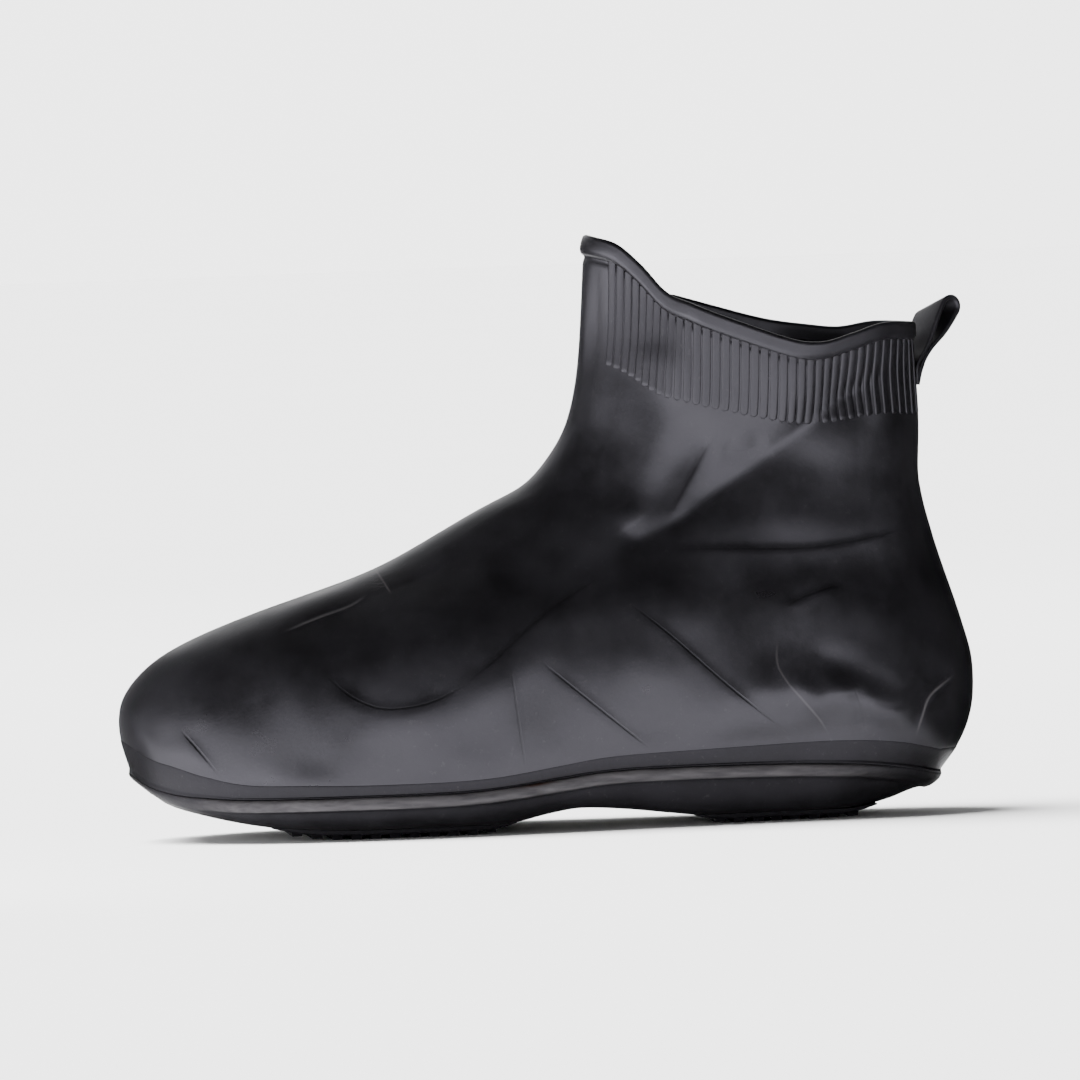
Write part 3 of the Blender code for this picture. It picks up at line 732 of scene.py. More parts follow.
def mesh_object(name, rows, close_rows=False, caps=False, merge=0.0, marks=None):
    """A closed mesh through rows of points in metres; marks are values kept on its points."""
    rows = np.asarray(rows, float)
    row_count, count, _ = rows.shape
    index = np.arange(row_count * count).reshape(row_count, count)
    lower, upper = (index, np.roll(index, -1, axis=0)) if close_rows else (index[:-1], index[1:])
    quads = np.stack([lower, np.roll(lower, -1, 1), np.roll(upper, -1, 1), upper], axis=-1).reshape(-1, 4)
    faces = quads.tolist()
    if caps:
        faces += [index[0][::-1].tolist(), index[-1].tolist()]
    mesh = bpy.data.meshes.new(name)
    mesh.from_pydata(rows.reshape(-1, 3).tolist(), [], faces)
    for mark, values in (marks or {}).items():
        add_attribute(mesh, mark, values)
    shape = bmesh.new()
    shape.from_mesh(mesh)
    if merge:
        bmesh.ops.remove_doubles(shape, verts=shape.verts, dist=merge)
        bmesh.ops.recalc_face_normals(shape, faces=shape.faces)
    if shape.calc_volume(signed=True) < 0:
        bmesh.ops.reverse_faces(shape, faces=shape.faces)
    shape.to_mesh(mesh)
    shape.free()
    mesh.shade_smooth()
    return new_object(name, mesh)


def settle(obj, slot, material, *nodes):
    """Gives a finished piece its rubber, its body and the solids that it stands for."""
    if not obj.data.materials:
        obj.data.materials.append(material)
    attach(obj, BODY)
    if nodes:
        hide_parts(*nodes)


def add(tree, kind, links=None, **settings):
    """Adds one node with its settings; links maps its inputs to sockets or values."""
    node = tree.nodes.new(kind)
    for key, value in settings.items():
        setattr(node, key, value)
    for key, value in (links or {}).items():
        if isinstance(value, bpy.types.NodeSocket):
            tree.links.new(value, node.inputs[key])
        else:
            node.inputs[key].default_value = value
    return node


def per_metre(size_mm):
    """The scale of a texture whose features are this many millimetres."""
    return 1.0 / (size_mm * MM)


def crease_cuts_and_painted_shade(tree, colours, bump, base, bloom):
    """Cuts the creases' sharp lines under the pores: dark ones get painted shade, pale ones are partly worn
    and partly a painted highlight.
    """
    line = add(tree, "ShaderNodeAttribute", attribute_name="fold_line").outputs["Fac"]
    strength = add(tree, "ShaderNodeAttribute", attribute_name="fold_strength").outputs["Fac"]
    away = add(tree, "ShaderNodeMath", {0: line}, operation="ABSOLUTE").outputs["Value"]
    near = {"Value": away, **LINED}
    thin = add(tree, "ShaderNodeMapRange", near, interpolation_type="SMOOTHSTEP").outputs["Result"]
    edge = add(tree, "ShaderNodeMath", {0: thin, 1: strength}, operation="MULTIPLY").outputs["Value"]
    groove = add(tree, "ShaderNodeMath", {0: edge, 1: -1.0}, operation="MULTIPLY").outputs["Value"]
    cutting = {"Height": groove, "Strength": CUT_STRENGTH, "Distance": CUT_DEPTH * MM}
    cut = add(tree, "ShaderNodeBump", cutting)
    tree.links.new(cut.outputs["Normal"], bump.inputs["Normal"])
    # A pale line is partly wear and partly a painted highlight
    pale = add(tree, "ShaderNodeMath", {0: groove, 1: 0.0}, operation="MAXIMUM").outputs["Value"]
    soft = add(tree, "ShaderNodeMath", {0: pale, 1: PALE_SHARE}, operation="MULTIPLY").outputs["Value"]
    bloom = add(tree, "ShaderNodeMath", {0: soft, 1: bloom}, operation="MAXIMUM").outputs["Value"]
    # Painted shade: a dark line's colour goes towards the crease colour, as shade would fall into the fold
    dark = add(tree, "ShaderNodeMath", {0: edge, 1: 0.0}, operation="MAXIMUM").outputs["Value"]
    deep = {"Factor": dark, 6: base, 7: tuple(colours.crease)}
    return add(tree, "ShaderNodeMix", deep, data_type="RGBA").outputs[2], bloom


def bead_wear_highlight_and_stain(tree, colours, where, base):
    """Paints the sole's bead pale in streaks, partly rubbed wear and partly a painted highlight, and lays a
    brown trace in the groove over it.
    """
    bead = add(tree, "ShaderNodeAttribute", attribute_name="bead").outputs["Fac"]
    stretch = {0: where, 1: STREAK_STRETCH}
    long_way = add(tree, "ShaderNodeVectorMath", stretch, operation="MULTIPLY").outputs["Vector"]
    streak = {"Vector": long_way, "Scale": per_metre(STREAK_SIZE), "Detail": 4.0}
    rub = add(tree, "ShaderNodeTexNoise", streak).outputs["Fac"]
    streaks = add(tree, "ShaderNodeMapRange", {"Value": rub, **STREAKED}).outputs["Result"]
    # Painted highlight and wear: the bead's proud face goes pale in streaks
    rubbed_and_highlit = add(tree, "ShaderNodeMath", {0: bead, 1: streaks}, operation="MULTIPLY").outputs["Value"]
    pale = {"Factor": rubbed_and_highlit, 6: base, 7: tuple(colours.rubbed_and_highlit)}
    base = add(tree, "ShaderNodeMix", pale, data_type="RGBA").outputs[2]
    stain = add(tree, "ShaderNodeAttribute", attribute_name="stain").outputs["Fac"]
    brown = {"Factor": stain, 6: base, 7: tuple(colours.brown)}
    return add(tree, "ShaderNodeMix", brown, data_type="RGBA").outputs[2]


def rubber_material(rubber, creased=False, beaded=False):
    """Black rubber with a matt bloom where it was handled; a creased piece gets painted shade in its
    creases, a beaded piece wear and a painted highlight on its bead.
    """
    colours = bpy.context.scene.shoe_cover_colours
    material = bpy.data.materials.new(rubber.name)
    material.use_nodes = True
    tree = material.node_tree
    shader = tree.nodes["Principled BSDF"]
    where = add(tree, "ShaderNodeTexCoord").outputs["Object"]
    patch = {"Vector": where, "Scale": per_metre(PATCH_SIZE), "Detail": 6.0, "Roughness": 0.62}
    patches = add(tree, "ShaderNodeTexNoise", patch).outputs["Fac"]
    handled = add(tree, "ShaderNodeMapRange", {"Value": patches, **HANDLED}).outputs["Result"]
    worn = {"Factor": handled, 6: tuple(colours.rubber), 7: tuple(colours.worn)}
    base = add(tree, "ShaderNodeMix", worn, data_type="RGBA").outputs[2]
    speck = {"Vector": where, "Scale": per_metre(SPECK_SIZE), "Detail": 4.0, "Roughness": 0.7}
    specks = add(tree, "ShaderNodeTexNoise", speck).outputs["Fac"]
    dusty = {"Value": specks, "To Max": rubber.dust, **SPECKED}
    dust = add(tree, "ShaderNodeMapRange", dusty).outputs["Result"]
    bloom = add(tree, "ShaderNodeMath", {0: dust, 1: handled}, operation="MULTIPLY").outputs["Value"]
    pore = {"Vector": where, "Scale": per_metre(PORE_SIZE), "Detail": 1.0, "Roughness": 0.5}
    pores = add(tree, "ShaderNodeTexNoise", pore).outputs["Fac"]
    grain = {"Height": pores, "Strength": rubber.grain, "Distance": PORE_DEPTH * MM}
    bump = add(tree, "ShaderNodeBump", grain)
    if creased:
        base, bloom = crease_cuts_and_painted_shade(tree, colours, bump, base, bloom)
    if beaded:
        base = bead_wear_highlight_and_stain(tree, colours, where, base)
    bloomed = {"Factor": bloom, 6: base, 7: tuple(colours.dust)}
    colour = add(tree, "ShaderNodeMix", bloomed, data_type="RGBA").outputs[2]
    tree.links.new(colour, shader.inputs["Base Color"])
    rough = {"To Min": rubber.roughness - SMOOTHER, "To Max": rubber.roughness + ROUGHER}
    dull = add(tree, "ShaderNodeMapRange", {"Value": patches, **DULLED, **rough})
    tree.links.new(dull.outputs["Result"], shader.inputs["Roughness"])
    tree.links.new(bump.outputs["Normal"], shader.inputs["Normal"])
    shader.inputs["IOR"].default_value = rubber.ior
    shader.inputs["Specular Tint"].default_value = colours.gloss
    return material


def rim_thickness(level, share, sizes):
    """Wall thickness up the collar: a rolled band over a fine groove that fades towards the back."""
    wall, rim = sizes.wall / MM, sizes.rim_wall / MM
    up = (level - RIM_LEVEL) / (TOP_LEVEL - RIM_LEVEL)
    groove = RIM_GROOVE * np.exp(-(((up + GROOVE_DROP) / GROOVE_SPREAD) ** 2))
    groove = groove * (1 - GROOVE_FADE * smooth_step(share, GROOVE_FADE_FROM, GROOVE_FADE_TO))
    return wall + (rim - wall) * round_end(up / RIM_STEP) - groove


def outer_levels():
    """Levels of the outer rows, closest where the rim steps out."""
    side = np.linspace(0.0, RIM_LEVEL - RIM_FOOT, OUTER_ROWS - RIM_ROWS)
    rim = np.linspace(RIM_LEVEL - RIM_FOOT + ROW_STEP, ROLL_LEVEL, RIM_ROWS)
    return np.concatenate([side, rim])


class SHOECOVER_OT_upper(bpy.types.Operator):
    """Makes the hollow upper with its folds and rolled rim"""

    bl_idname = "shoe_cover.upper"
    bl_label = "Upper"

    def execute(self, context):
        sizes = context.scene.shoe_cover_sizes
        turn = column_turns(COLUMNS)
        levels = outer_levels()
        points, normals, line, strength = skin(levels, turn)
        thick = rim_thickness(levels[:, None], (1 - np.cos(turn)) / 2, sizes)
        outer_rows = points + normals * thick[..., None]
        rise = points[-1] - points[-3]
        rise /= np.linalg.norm(rise, axis=1, keepdims=True)
        rim = sizes.rim_wall / MM
        roll = [
            points[-1] + normals[-1] * rim * (1 + math.cos(a)) / 2 + rise * ROLL_RISE * rim * math.sin(a)
            for a in np.linspace(0, math.pi, ROLL_ROWS + 2)[1:-1]
        ]
        inner_rows = skin(np.linspace(0.0, ROLL_LEVEL, INNER_ROWS), turn)[0][::-1]
        rows = np.concatenate([outer_rows, roll, inner_rows])
        plain = np.zeros((len(roll) + INNER_ROWS, COLUMNS))
        # The creases' sharp lines: grooves in the bump, painted shade on the dark ones and a pale colour on
        # the others
        marks = {
            "fold_line": np.concatenate([line, plain + LINE_REACH]),
            "fold_strength": np.concatenate([strength, plain]),
        }
        upper = mesh_object("upper_skin", placed(rows), close_rows=True, marks=marks)
        material = rubber_material(UPPER_RUBBER, creased=True)
        upper.data.materials.append(material)
        upper.data.materials.append(rubber_material(LINING_RUBBER))
        lined = np.zeros((len(rows), COLUMNS), np.int32)
        lined[-INNER_ROWS + LIP_ROWS :] = 1
        upper.data.polygons.foreach_set("material_index", lined.ravel())
        settle(upper, "upper", material, "upper")
        return {"FINISHED"}


def new_tree(name, **inputs):
    """A Geometry Nodes tree with a geometry in and out and these named inputs, and what it is given."""
    tree = bpy.data.node_groups.new(name, "GeometryNodeTree")
    for key, kind in {"Geometry": "Geometry", **inputs}.items():
        tree.interface.new_socket(key, in_out="INPUT", socket_type="NodeSocket" + kind)
    tree.interface.new_socket("Geometry", in_out="OUTPUT", socket_type="NodeSocketGeometry")
    return tree, add(tree, "NodeGroupInput").outputs


def end_tree(tree, geometry, rubber):
    """Ends a tree in plain geometry with its rubber on it."""
    whole = add(tree, "GeometryNodeRealizeInstances", {"Geometry": geometry}).outputs[0]
    coated = add(tree, "GeometryNodeSetMaterial", {"Geometry": whole, "Material": rubber}).outputs[0]
    add(tree, "NodeGroupOutput", {"Geometry": coated})
    return tree


def guide_object(name, points, edges=()):
    """Loose points, or edges between them, that a tree grows on."""
    mesh = bpy.data.meshes.new(name)
    mesh.from_pydata(placed(points).tolist(), list(edges), [])
    return new_object(name, mesh)


def grown(guide, tree, inputs, name):
    """The plain mesh that a node tree grows on a guide, as a new object; the guide is removed."""
    modifier = guide.modifiers.new("grow", "NODES")
    modifier.node_group = tree
    for item in tree.interface.items_tree:
        if item.in_out == "INPUT" and item.name in inputs:
            modifier[item.identifier] = inputs[item.name]
    bpy.context.view_layer.update()
    evaluated = guide.evaluated_get(bpy.context.evaluated_depsgraph_get())
    mesh = bpy.data.meshes.new_from_object(evaluated)
    guide.modifiers.remove(modifier)
    bpy.data.objects.remove(guide)
    mesh.name = name
    return new_object(name, mesh)


def rib_tree():
    """Geometry Nodes: a round bar with a rounded foot along each edge path, pressed flat afterwards."""
    tree, given = new_tree("cuff ribs", Radius="Float", Sides="Int", Rubber="Material")
    paths = add(tree, "GeometryNodeMeshToCurve", {"Mesh": given["Geometry"]}).outputs["Curve"]
    along = add(tree, "GeometryNodeSplineParameter").outputs["Length"]
    near = add(tree, "ShaderNodeMath", {0: along, 1: given["Radius"]}, operation="DIVIDE")
    short = add(tree, "ShaderNodeMath", {0: 1.0, 1: near.outputs[0]}, operation="SUBTRACT", use_clamp=True)
    square = add(tree, "ShaderNodeMath", {0: short.outputs[0], 1: short.outputs[0]}, operation="MULTIPLY")
    left = add(tree, "ShaderNodeMath", {0: 1.0, 1: square.outputs[0]}, operation="SUBTRACT", use_clamp=True)
    swell = add(tree, "ShaderNodeMath", {0: left.outputs[0]}, operation="SQRT")
    foot = add(tree, "ShaderNodeMath", {0: swell.outputs[0], 1: RIB_TIP}, operation="MAXIMUM")
    sized = add(tree, "GeometryNodeSetCurveRadius", {"Curve": paths, "Radius": foot.outputs[0]})
    circle = {"Resolution": given["Sides"], "Radius": given["Radius"]}
    ring = add(tree, "GeometryNodeCurvePrimitiveCircle", circle).outputs["Curve"]
    swept = {"Curve": sized.outputs[0], "Profile Curve": ring, "Fill Caps": True}
    bars = add(tree, "GeometryNodeCurveToMesh", swept)
    # Where the node has a scale of its own, the curve's radius goes in there
    if "Scale" in bars.inputs:
        radius = add(tree, "GeometryNodeInputRadius").outputs["Radius"]
        tree.links.new(radius, bars.inputs["Scale"])
    smooth = add(tree, "GeometryNodeSetShadeSmooth", {"Geometry": bars.outputs["Mesh"]})
    return end_tree(tree, smooth.outputs[0], given["Rubber"])


def rib_turns(sizes, start, end):
    """Turns at which the ribs stand, at an even pitch along one side of the collar."""
    turn = np.linspace(start, end, COLLAR_POINTS)
    run = path_run(last_row((CUFF_LEVEL + RIM_LEVEL) / 2, turn))
    pitch = sizes.rib_pitch / MM
    count = int((run[-1] - PLAIN_FRONT - PLAIN_BACK) / pitch)
    return np.interp(PLAIN_FRONT + pitch * np.arange(count + 1), run, turn)


def flatten_ribs(ribs, middles, outward, sizes):
    """Presses the round bars into low ribs with a squared section."""
    half = sizes.rib_width / 2
    bars = np.empty(len(ribs.data.vertices) * 3)
    ribs.data.vertices.foreach_get("co", bars)
    bars = bars.reshape(*middles.shape[:2], -1, 3)
    middles, outward = middles[:, :, None, :], outward[:, :, None, :]
    away = (bars - middles) / half
    size = np.linalg.norm(away, axis=3, keepdims=True)
    up = (away / size * outward).sum(axis=3, keepdims=True)
    aside = away / size - up * outward
    spread = np.linalg.norm(aside, axis=3, keepdims=True) + TINY
    level = np.sign(up) * np.abs(up) ** RIB_SQUARE * (sizes.rib_height + RIB_SUNK * MM)
    across = aside / spread * spread**RIB_SQUARE * half
    ribs.data.vertices.foreach_set("co", (middles + size * (level * outward + across)).ravel())


class SHOECOVER_OT_ribs(bpy.types.Operator):
    """Makes the raised ribs of the cuff"""

    bl_idname = "shoe_cover.ribs"
    bl_label = "Cuff ribs"

    def execute(self, context):
        sizes = context.scene.shoe_cover_sizes
        near = rib_turns(sizes, 0.0, math.pi)
        far = rib_turns(sizes, 2 * math.pi, math.pi)
        turn = np.concatenate([near, far])
        shares = np.concatenate([RIB_FOOT_SHARES, np.linspace(RIB_STRAIGHT, 1.0, RIB_ROWS)])
        fine_turn = np.sort(np.concatenate([column_turns(COLUMNS), turn]))
        points, normals, _, _ = skin(RIB_BOTTOM + shares * (RIB_TOP - RIB_BOTTOM), fine_turn)
        pick = np.searchsorted(fine_turn, turn)
        stand = sizes.wall / MM - RIB_SUNK
        paths = (points + normals * stand)[:, pick].transpose(1, 0, 2)
        count, steps, _ = paths.shape
        index = np.arange(count * steps).reshape(count, steps)
        edges = np.stack([index[:, :-1], index[:, 1:]], axis=-1).reshape(-1, 2)
        guide = guide_object("rib_guide", paths.reshape(-1, 3), edges.tolist())
        material = rubber_material(RIB_RUBBER)
        inputs = {"Radius": sizes.rib_width / 2, "Sides": RIB_SIDES, "Rubber": material}
        ribs = grown(guide, rib_tree(), inputs, "cuff_ribs")
        flatten_ribs(ribs, placed(paths), normals[:, pick].transpose(1, 0, 2), sizes)
        settle(ribs, "upper", material)
        return {"FINISHED"}


class SHOECOVER_OT_rand(bpy.types.Operator):
    """Makes the rand, the strip that covers the joint with the sole"""

    bl_idname = "shoe_cover.rand"
    bl_label = "Rand"

    def execute(self, context):
        sizes = context.scene.shoe_cover_sizes
        turn = column_turns(COLUMNS)
        levels = np.linspace(0.0, RAND_LEVEL, RAND_ROWS)
        grid = last_grid(levels, turn)
        normals = grid_normals(grid)
        stand = sizes.rand_wall / MM - RAND_TAPER * levels / RAND_LEVEL
        outer_rows = grid + normals * stand[:, None, None]
        edge_stand = np.array([row.stand for row in RAND_EDGE])
        edge = last_grid([row.level for row in RAND_EDGE], turn)
        edge = edge + normals[-1] * edge_stand[:, None, None]
        inner = (grid + normals * RAND_BACK)[::-1][::RAND_BACK_STEP]
        rows = np.concatenate([outer_rows, edge, inner])
        rand = mesh_object("rand_strip", placed(rows), close_rows=True)
        settle(rand, "rand", rubber_material(RAND_RUBBER), "rand")
        return {"FINISHED"}


def joint_line(count):
    """Points of the joint with the sole, and their outward directions seen from above."""
    points = last_row(0.0, column_turns(count))
    along = np.roll(points, -1, axis=0) - np.roll(points, 1, axis=0)
    out = np.stack([along[:, 1], -along[:, 0]], axis=1)
    out /= np.linalg.norm(out, axis=1)[:, None]
    return points, (-out if out[0, 0] > 0 else out)


def edge_row(section, points, out, share):
    """One row of the sole's edge; share is how much of the bead stands there."""
    proud = max(section.out - BEAD_FOOT, 0.0)
    reach = section.out - proud + proud * share
    if proud:
        for ripple in BEAD_RIPPLES:
            phase = points[:, 0] / ripple.length + ripple.shift * np.sign(points[:, 1])
            reach = reach + ripple.height * np.sin(phase) * share
    low = (section.drop or 0.0) / SOLE_EDGE[-1].drop
    plan = points[:, :2] + out * (reach - (1 - share) * END_TUCK * low**2)[:, None]
    if section.drop is None:
        return np.column_stack([plan, underside_z(plan[:, 0]) + section.rise])
    return np.column_stack([plan, points[:, 2] - section.drop])


def side_row(section, points, out, share):
    """One row of the sole's side, between the foot of the bead and the underside."""
    plan = points[:, :2] + out * (section.out - (1 - share) * END_TUCK)[:, None]
    low = underside_z(plan[:, 0]) + section.rise
    top = points[:, 2] - SOLE_EDGE[-1].drop
    return np.column_stack([plan, top + section.share * (low - top)])


def sole_inner_row(outer_row, share, rise):
    """A row drawn in towards the sole's middle line, which it reaches at share 0."""
    mirror = np.roll(outer_row[::-1], 1, axis=0)
    middle = (outer_row[:, :2] + mirror[:, :2]) / 2
    plan = middle + share * (outer_row[:, :2] - middle)
    return np.column_stack([plan, underside_z(plan[:, 0]) + rise])


class SHOECOVER_OT_outsole(bpy.types.Operator):
    """Makes the dished sole with its bead"""

    bl_idname = "shoe_cover.outsole"
    bl_label = "Outsole"

    def execute(self, context):
        points, out = joint_line(SOLE_COLUMNS)
        standing = bead_share(points[:, 0])
        edge = [edge_row(section, points, out, standing) for section in SOLE_EDGE]
        side = [side_row(section, points, out, standing) for section in SOLE_SIDE]
        inside = [sole_inner_row(edge[0], share, SOLE_FLOOR) for share in FLOOR_ROWS]
        under = [sole_inner_row(side[-1], share, 0.0) for share in UNDERSIDE_ROWS]
        rows = np.array(inside + edge + side + under)
        bead, stain = np.zeros((2, len(rows), SOLE_COLUMNS))
        glue = np.exp(-(((points[:, 0] - STAIN_X) / STAIN_LENGTH) ** 2)) * (points[:, 1] < 0)
        for i, section in enumerate(SOLE_EDGE):
            # The bead's proud rows get the pale colour, partly wear and partly a painted highlight
            if section.out > BEAD_FACE:
                bead[len(inside) + i] = standing
            if i in GROOVE_ROWS:
                stain[len(inside) + i] = glue
        sole = mesh_object("sole_tray", placed(rows), merge=MERGE, marks={"bead": bead, "stain": stain})
        settle(sole, "outsole", rubber_material(SOLE_RUBBER, beaded=True), "outsole")
        return {"FINISHED"}


def cleat_tree():
    """Geometry Nodes: a block on each point, drafted like what comes out of a mould."""
    sizes = {"Width": "Float", "Length": "Float", "Height": "Float", "Draft": "Float"}
    tree, given = new_tree("tread cleats", **sizes, Rubber="Material")
    corner = math.sqrt(0.5)
    low = add(tree, "ShaderNodeMath", {0: corner, 1: given["Draft"]}, operation="SUBTRACT").outputs[0]
    cone = {"Vertices": 4, "Radius Top": corner, "Radius Bottom": low, "Depth": 1.0}
    block = add(tree, "GeometryNodeMeshCone", cone).outputs["Mesh"]
    quarter = {"Geometry": block, "Rotation": (0, 0, math.pi / 4)}
    turned = add(tree, "GeometryNodeTransform", quarter).outputs[0]
    size = {"X": given["Width"], "Y": given["Length"], "Z": given["Height"]}
    scale = add(tree, "ShaderNodeCombineXYZ", size).outputs[0]
    shaped = add(tree, "GeometryNodeTransform", {"Geometry": turned, "Scale": scale}).outputs[0]
    on_points = {"Points": given["Geometry"], "Instance": shaped}
    set_on = add(tree, "GeometryNodeInstanceOnPoints", on_points).outputs[0]
    return end_tree(tree, set_on, given["Rubber"])


def sole_sides():
    """The joint's outer and inner side as functions of the distance from the toe."""
    turn = np.linspace(0.0, math.pi, SIDE_POINTS)
    outer, inner = last_row(0.0, turn), last_row(0.0, 2 * math.pi - turn)
    return [curve_through(side[:, 0], side[:, 1]) for side in (outer, inner)]


def bar_starts(tread):
    """Where the bars of a tread start, spread evenly between its ends."""
    count = int((tread.last_x - tread.first_x - BAR_WIDTH) // BAR_PITCH) + 1
    run = (count - 1) * BAR_PITCH + BAR_WIDTH
    return (tread.first_x + tread.last_x - run) / 2 + BAR_PITCH * np.arange(count)


def run_out(tread, x):
    """Share of the tread's depth, which runs out towards its ends."""
    front = smooth_step(x, tread.first_x - RUN_OUT_LEAD, tread.first_x + RUN_OUT)
    return front * smooth_step(-x, -tread.last_x - RUN_OUT_LEAD, RUN_OUT - tread.last_x)


def pad_rows(tread, sides):
    """Sections of a pad: a thin plate with softened long edges under the sole."""
    starts = bar_starts(tread)
    rows = []
    for x in np.linspace(starts[0], starts[-1] + BAR_WIDTH, PAD_ROWS):
        near, far = sides[0](x) + tread.inset, sides[1](x) - tread.inset
        top, low = underside_z(x) + PAD_SUNK, underside_z(x) - PAD_DEPTH * run_out(tread, x)
        edge = min(PAD_EDGE, (top - low) / 2)
        section = [(near + edge, low), (far - edge, low), (far, low + edge)]
        section += [(far, top), (near, top), (near, low + edge)]
        rows.append([(x, y, z) for y, z in section])
    return rows


def cleat_spots(tread, sides, sizes):
    """Middles of a tread's cleats, bar by bar."""
    length, gap = sizes.cleat_length / MM, sizes.cleat_gap / MM
    pitch = length + gap
    spots = []
    for i, start in enumerate(bar_starts(tread)):
        x = start + BAR_WIDTH / 2
        depth = run_out(tread, x)
        if depth < CLEAT_START:
            continue
        near = sides[0](x) + tread.inset + CLEAT_MARGIN
        far = sides[1](x) - tread.inset - CLEAT_MARGIN
        count = int((far - near + gap) // pitch)
        used = count * pitch - gap
        shift = (far - near - used) / 2 * (CLEAT_SHIFT if i % 2 else -CLEAT_SHIFT)
        first = (near + far - used) / 2 + shift + length / 2
        z = underside_z(x) - BAR_DEPTH + CLEAT_RISE * (1 - depth)
        spots += [(x, first + j * pitch, z) for j in range(count)]
    return spots


class SHOECOVER_OT_treads(bpy.types.Operator):
    """Makes the tread pads with their cleats"""

    bl_idname = "shoe_cover.treads"
    bl_label = "Treads"

    def execute(self, context):
        sizes = context.scene.shoe_cover_sizes
        sides = sole_sides()
        material = rubber_material(TREAD_RUBBER)
        tree = cleat_tree()
        inputs = {
            "Width": BAR_WIDTH * MM,
            "Length": sizes.cleat_length,
            "Height": (BAR_DEPTH - PAD_DEPTH + CLEAT_ROOT) * MM,
            "Draft": CLEAT_DRAFT,
            "Rubber": material,
        }
        for tread in TREADS:
            pad = mesh_object(tread.name + "_pad", placed(pad_rows(tread, sides)), caps=True)
            pad.data.set_sharp_from_angle(angle=PAD_SHARP)
            settle(pad, "tread", material, tread.name)
            guide = guide_object("cleat_guide", cleat_spots(tread, sides, sizes))
            cleats = grown(guide, tree, inputs, tread.name + "_cleats")
            settle(cleats, "tread", material)
        return {"FINISHED"}


def collar_back_x():
    """Distance of the collar's outside from the toe at its back, where the loop's foot sits."""
    levels = np.linspace(HANG_LEVEL, RIM_LEVEL, BACK_STEPS)
    backs = np.array([last_row(level, np.array([math.pi]))[0] for level in levels])
    at = curve_through(backs[:, 2], backs[:, 0])
    return float(max(at(TAB_BOTTOM_Z), at(LOOP_BASE_Z))) + COLLAR_WALL


def loop_path(half):
    """Middle line of the strip from its foot, round the tip and down again, as x and z."""
    face = collar_back_x()
    foot = np.array([face + 2 * half, LOOP_BASE_Z])
    lean = np.array([math.cos(LOOP_LEAN), math.sin(LOOP_LEAN)])
    aside = np.array([-lean[1], lean[0]])
    tip = foot + LOOP_REACH * lean
    radius = LOOP_TIP_RADIUS - half
    opening = foot + EYE_START * lean
    widest = foot + EYE_WIDEST * LOOP_REACH * lean
    bulge = aside * radius * EYE_WIDTH
    path = [(face + half, TAB_BOTTOM_Z), (face + half, LOOP_BASE_Z - TAB_LEAVE)]
    path += [opening + aside * half, widest + bulge]
    for turn in np.linspace(TIP_TURN, -TIP_TURN, TIP_POINTS) + LOOP_LEAN:
        path.append(tip + radius * np.array([math.cos(turn), math.sin(turn)]))
    path += [widest - bulge, opening - aside * half]
    path += [(face + LAP_OUT * half, LOOP_BASE_Z - LAP_DROP)]
    path += [(face + LAP_END * half, TAB_BOTTOM_Z + LAP_SHORT)]
    path = np.array(path)
    run = path_run(path)
    at = np.linspace(0.0, run[-1], LOOP_POINTS)
    return np.stack([curve_through(run, path[:, i])(at) for i in (0, 1)], axis=1), face


def strip_section(thick, width):
    """Section of the strip: a flat bar with rounded edges, as out and across."""
    corner = thick * STRIP_CORNER
    points = []
    for sign_out, sign_across, start in ((1, 1, 0), (-1, 1, 1), (-1, -1, 2), (1, -1, 3)):
        for angle in np.linspace(0, math.pi / 2, CORNER_POINTS):
            a = start * math.pi / 2 + angle
            out = sign_out * (thick / 2 - corner) + corner * math.cos(a)
            across = sign_across * (width / 2 - corner) + corner * math.sin(a)
            points.append((out, across))
    return np.array(points)


class SHOECOVER_OT_loop(bpy.types.Operator):
    """Makes the folded pull loop behind the collar"""

    bl_idname = "shoe_cover.loop"
    bl_label = "Pull loop"

    def execute(self, context):
        sizes = context.scene.shoe_cover_sizes
        thick, width = sizes.strip / MM, sizes.strip_width / MM
        path, face = loop_path(thick / 2)
        along = np.gradient(path, axis=0)
        along /= np.linalg.norm(along, axis=1, keepdims=True)
        side = np.stack([-along[:, 1], along[:, 0]], axis=1)
        section = strip_section(thick, width)
        level = LEVELS[int(CUFF_LEVEL)]
        curl = (level.back_x - level.front_x) * level.tail / (2 * level.heel**2)
        axis_x = face - 1 / (2 * curl)
        cos_turn, sin_turn = math.cos(sizes.loop_turn), math.sin(sizes.loop_turn)
        rows = []
        for point, out in zip(path, side):
            x, z = (point + out * section[:, :1]).T
            y = section[:, 1]
            keep = 1 - LOOP_SLOPE * (y / width + 0.5) * (z > LOOP_BASE_Z)
            x, z = face + (x - face) * keep, LOOP_BASE_Z + (z - LOOP_BASE_Z) * keep
            straight = smooth_step(z, LOOP_BASE_Z, LOOP_BASE_Z + LOOP_REACH / 2)
            dx = x - curl * y**2 * (1 - straight) - axis_x
            turned_x = axis_x + dx * cos_turn - y * sin_turn
            rows.append(np.stack([turned_x, dx * sin_turn + y * cos_turn, z], axis=1))
        loop = mesh_object("loop_strip", placed(rows), caps=True)
        settle(loop, "pull_loop", rubber_material(LOOP_RUBBER), "pull_loop")
        return {"FINISHED"}


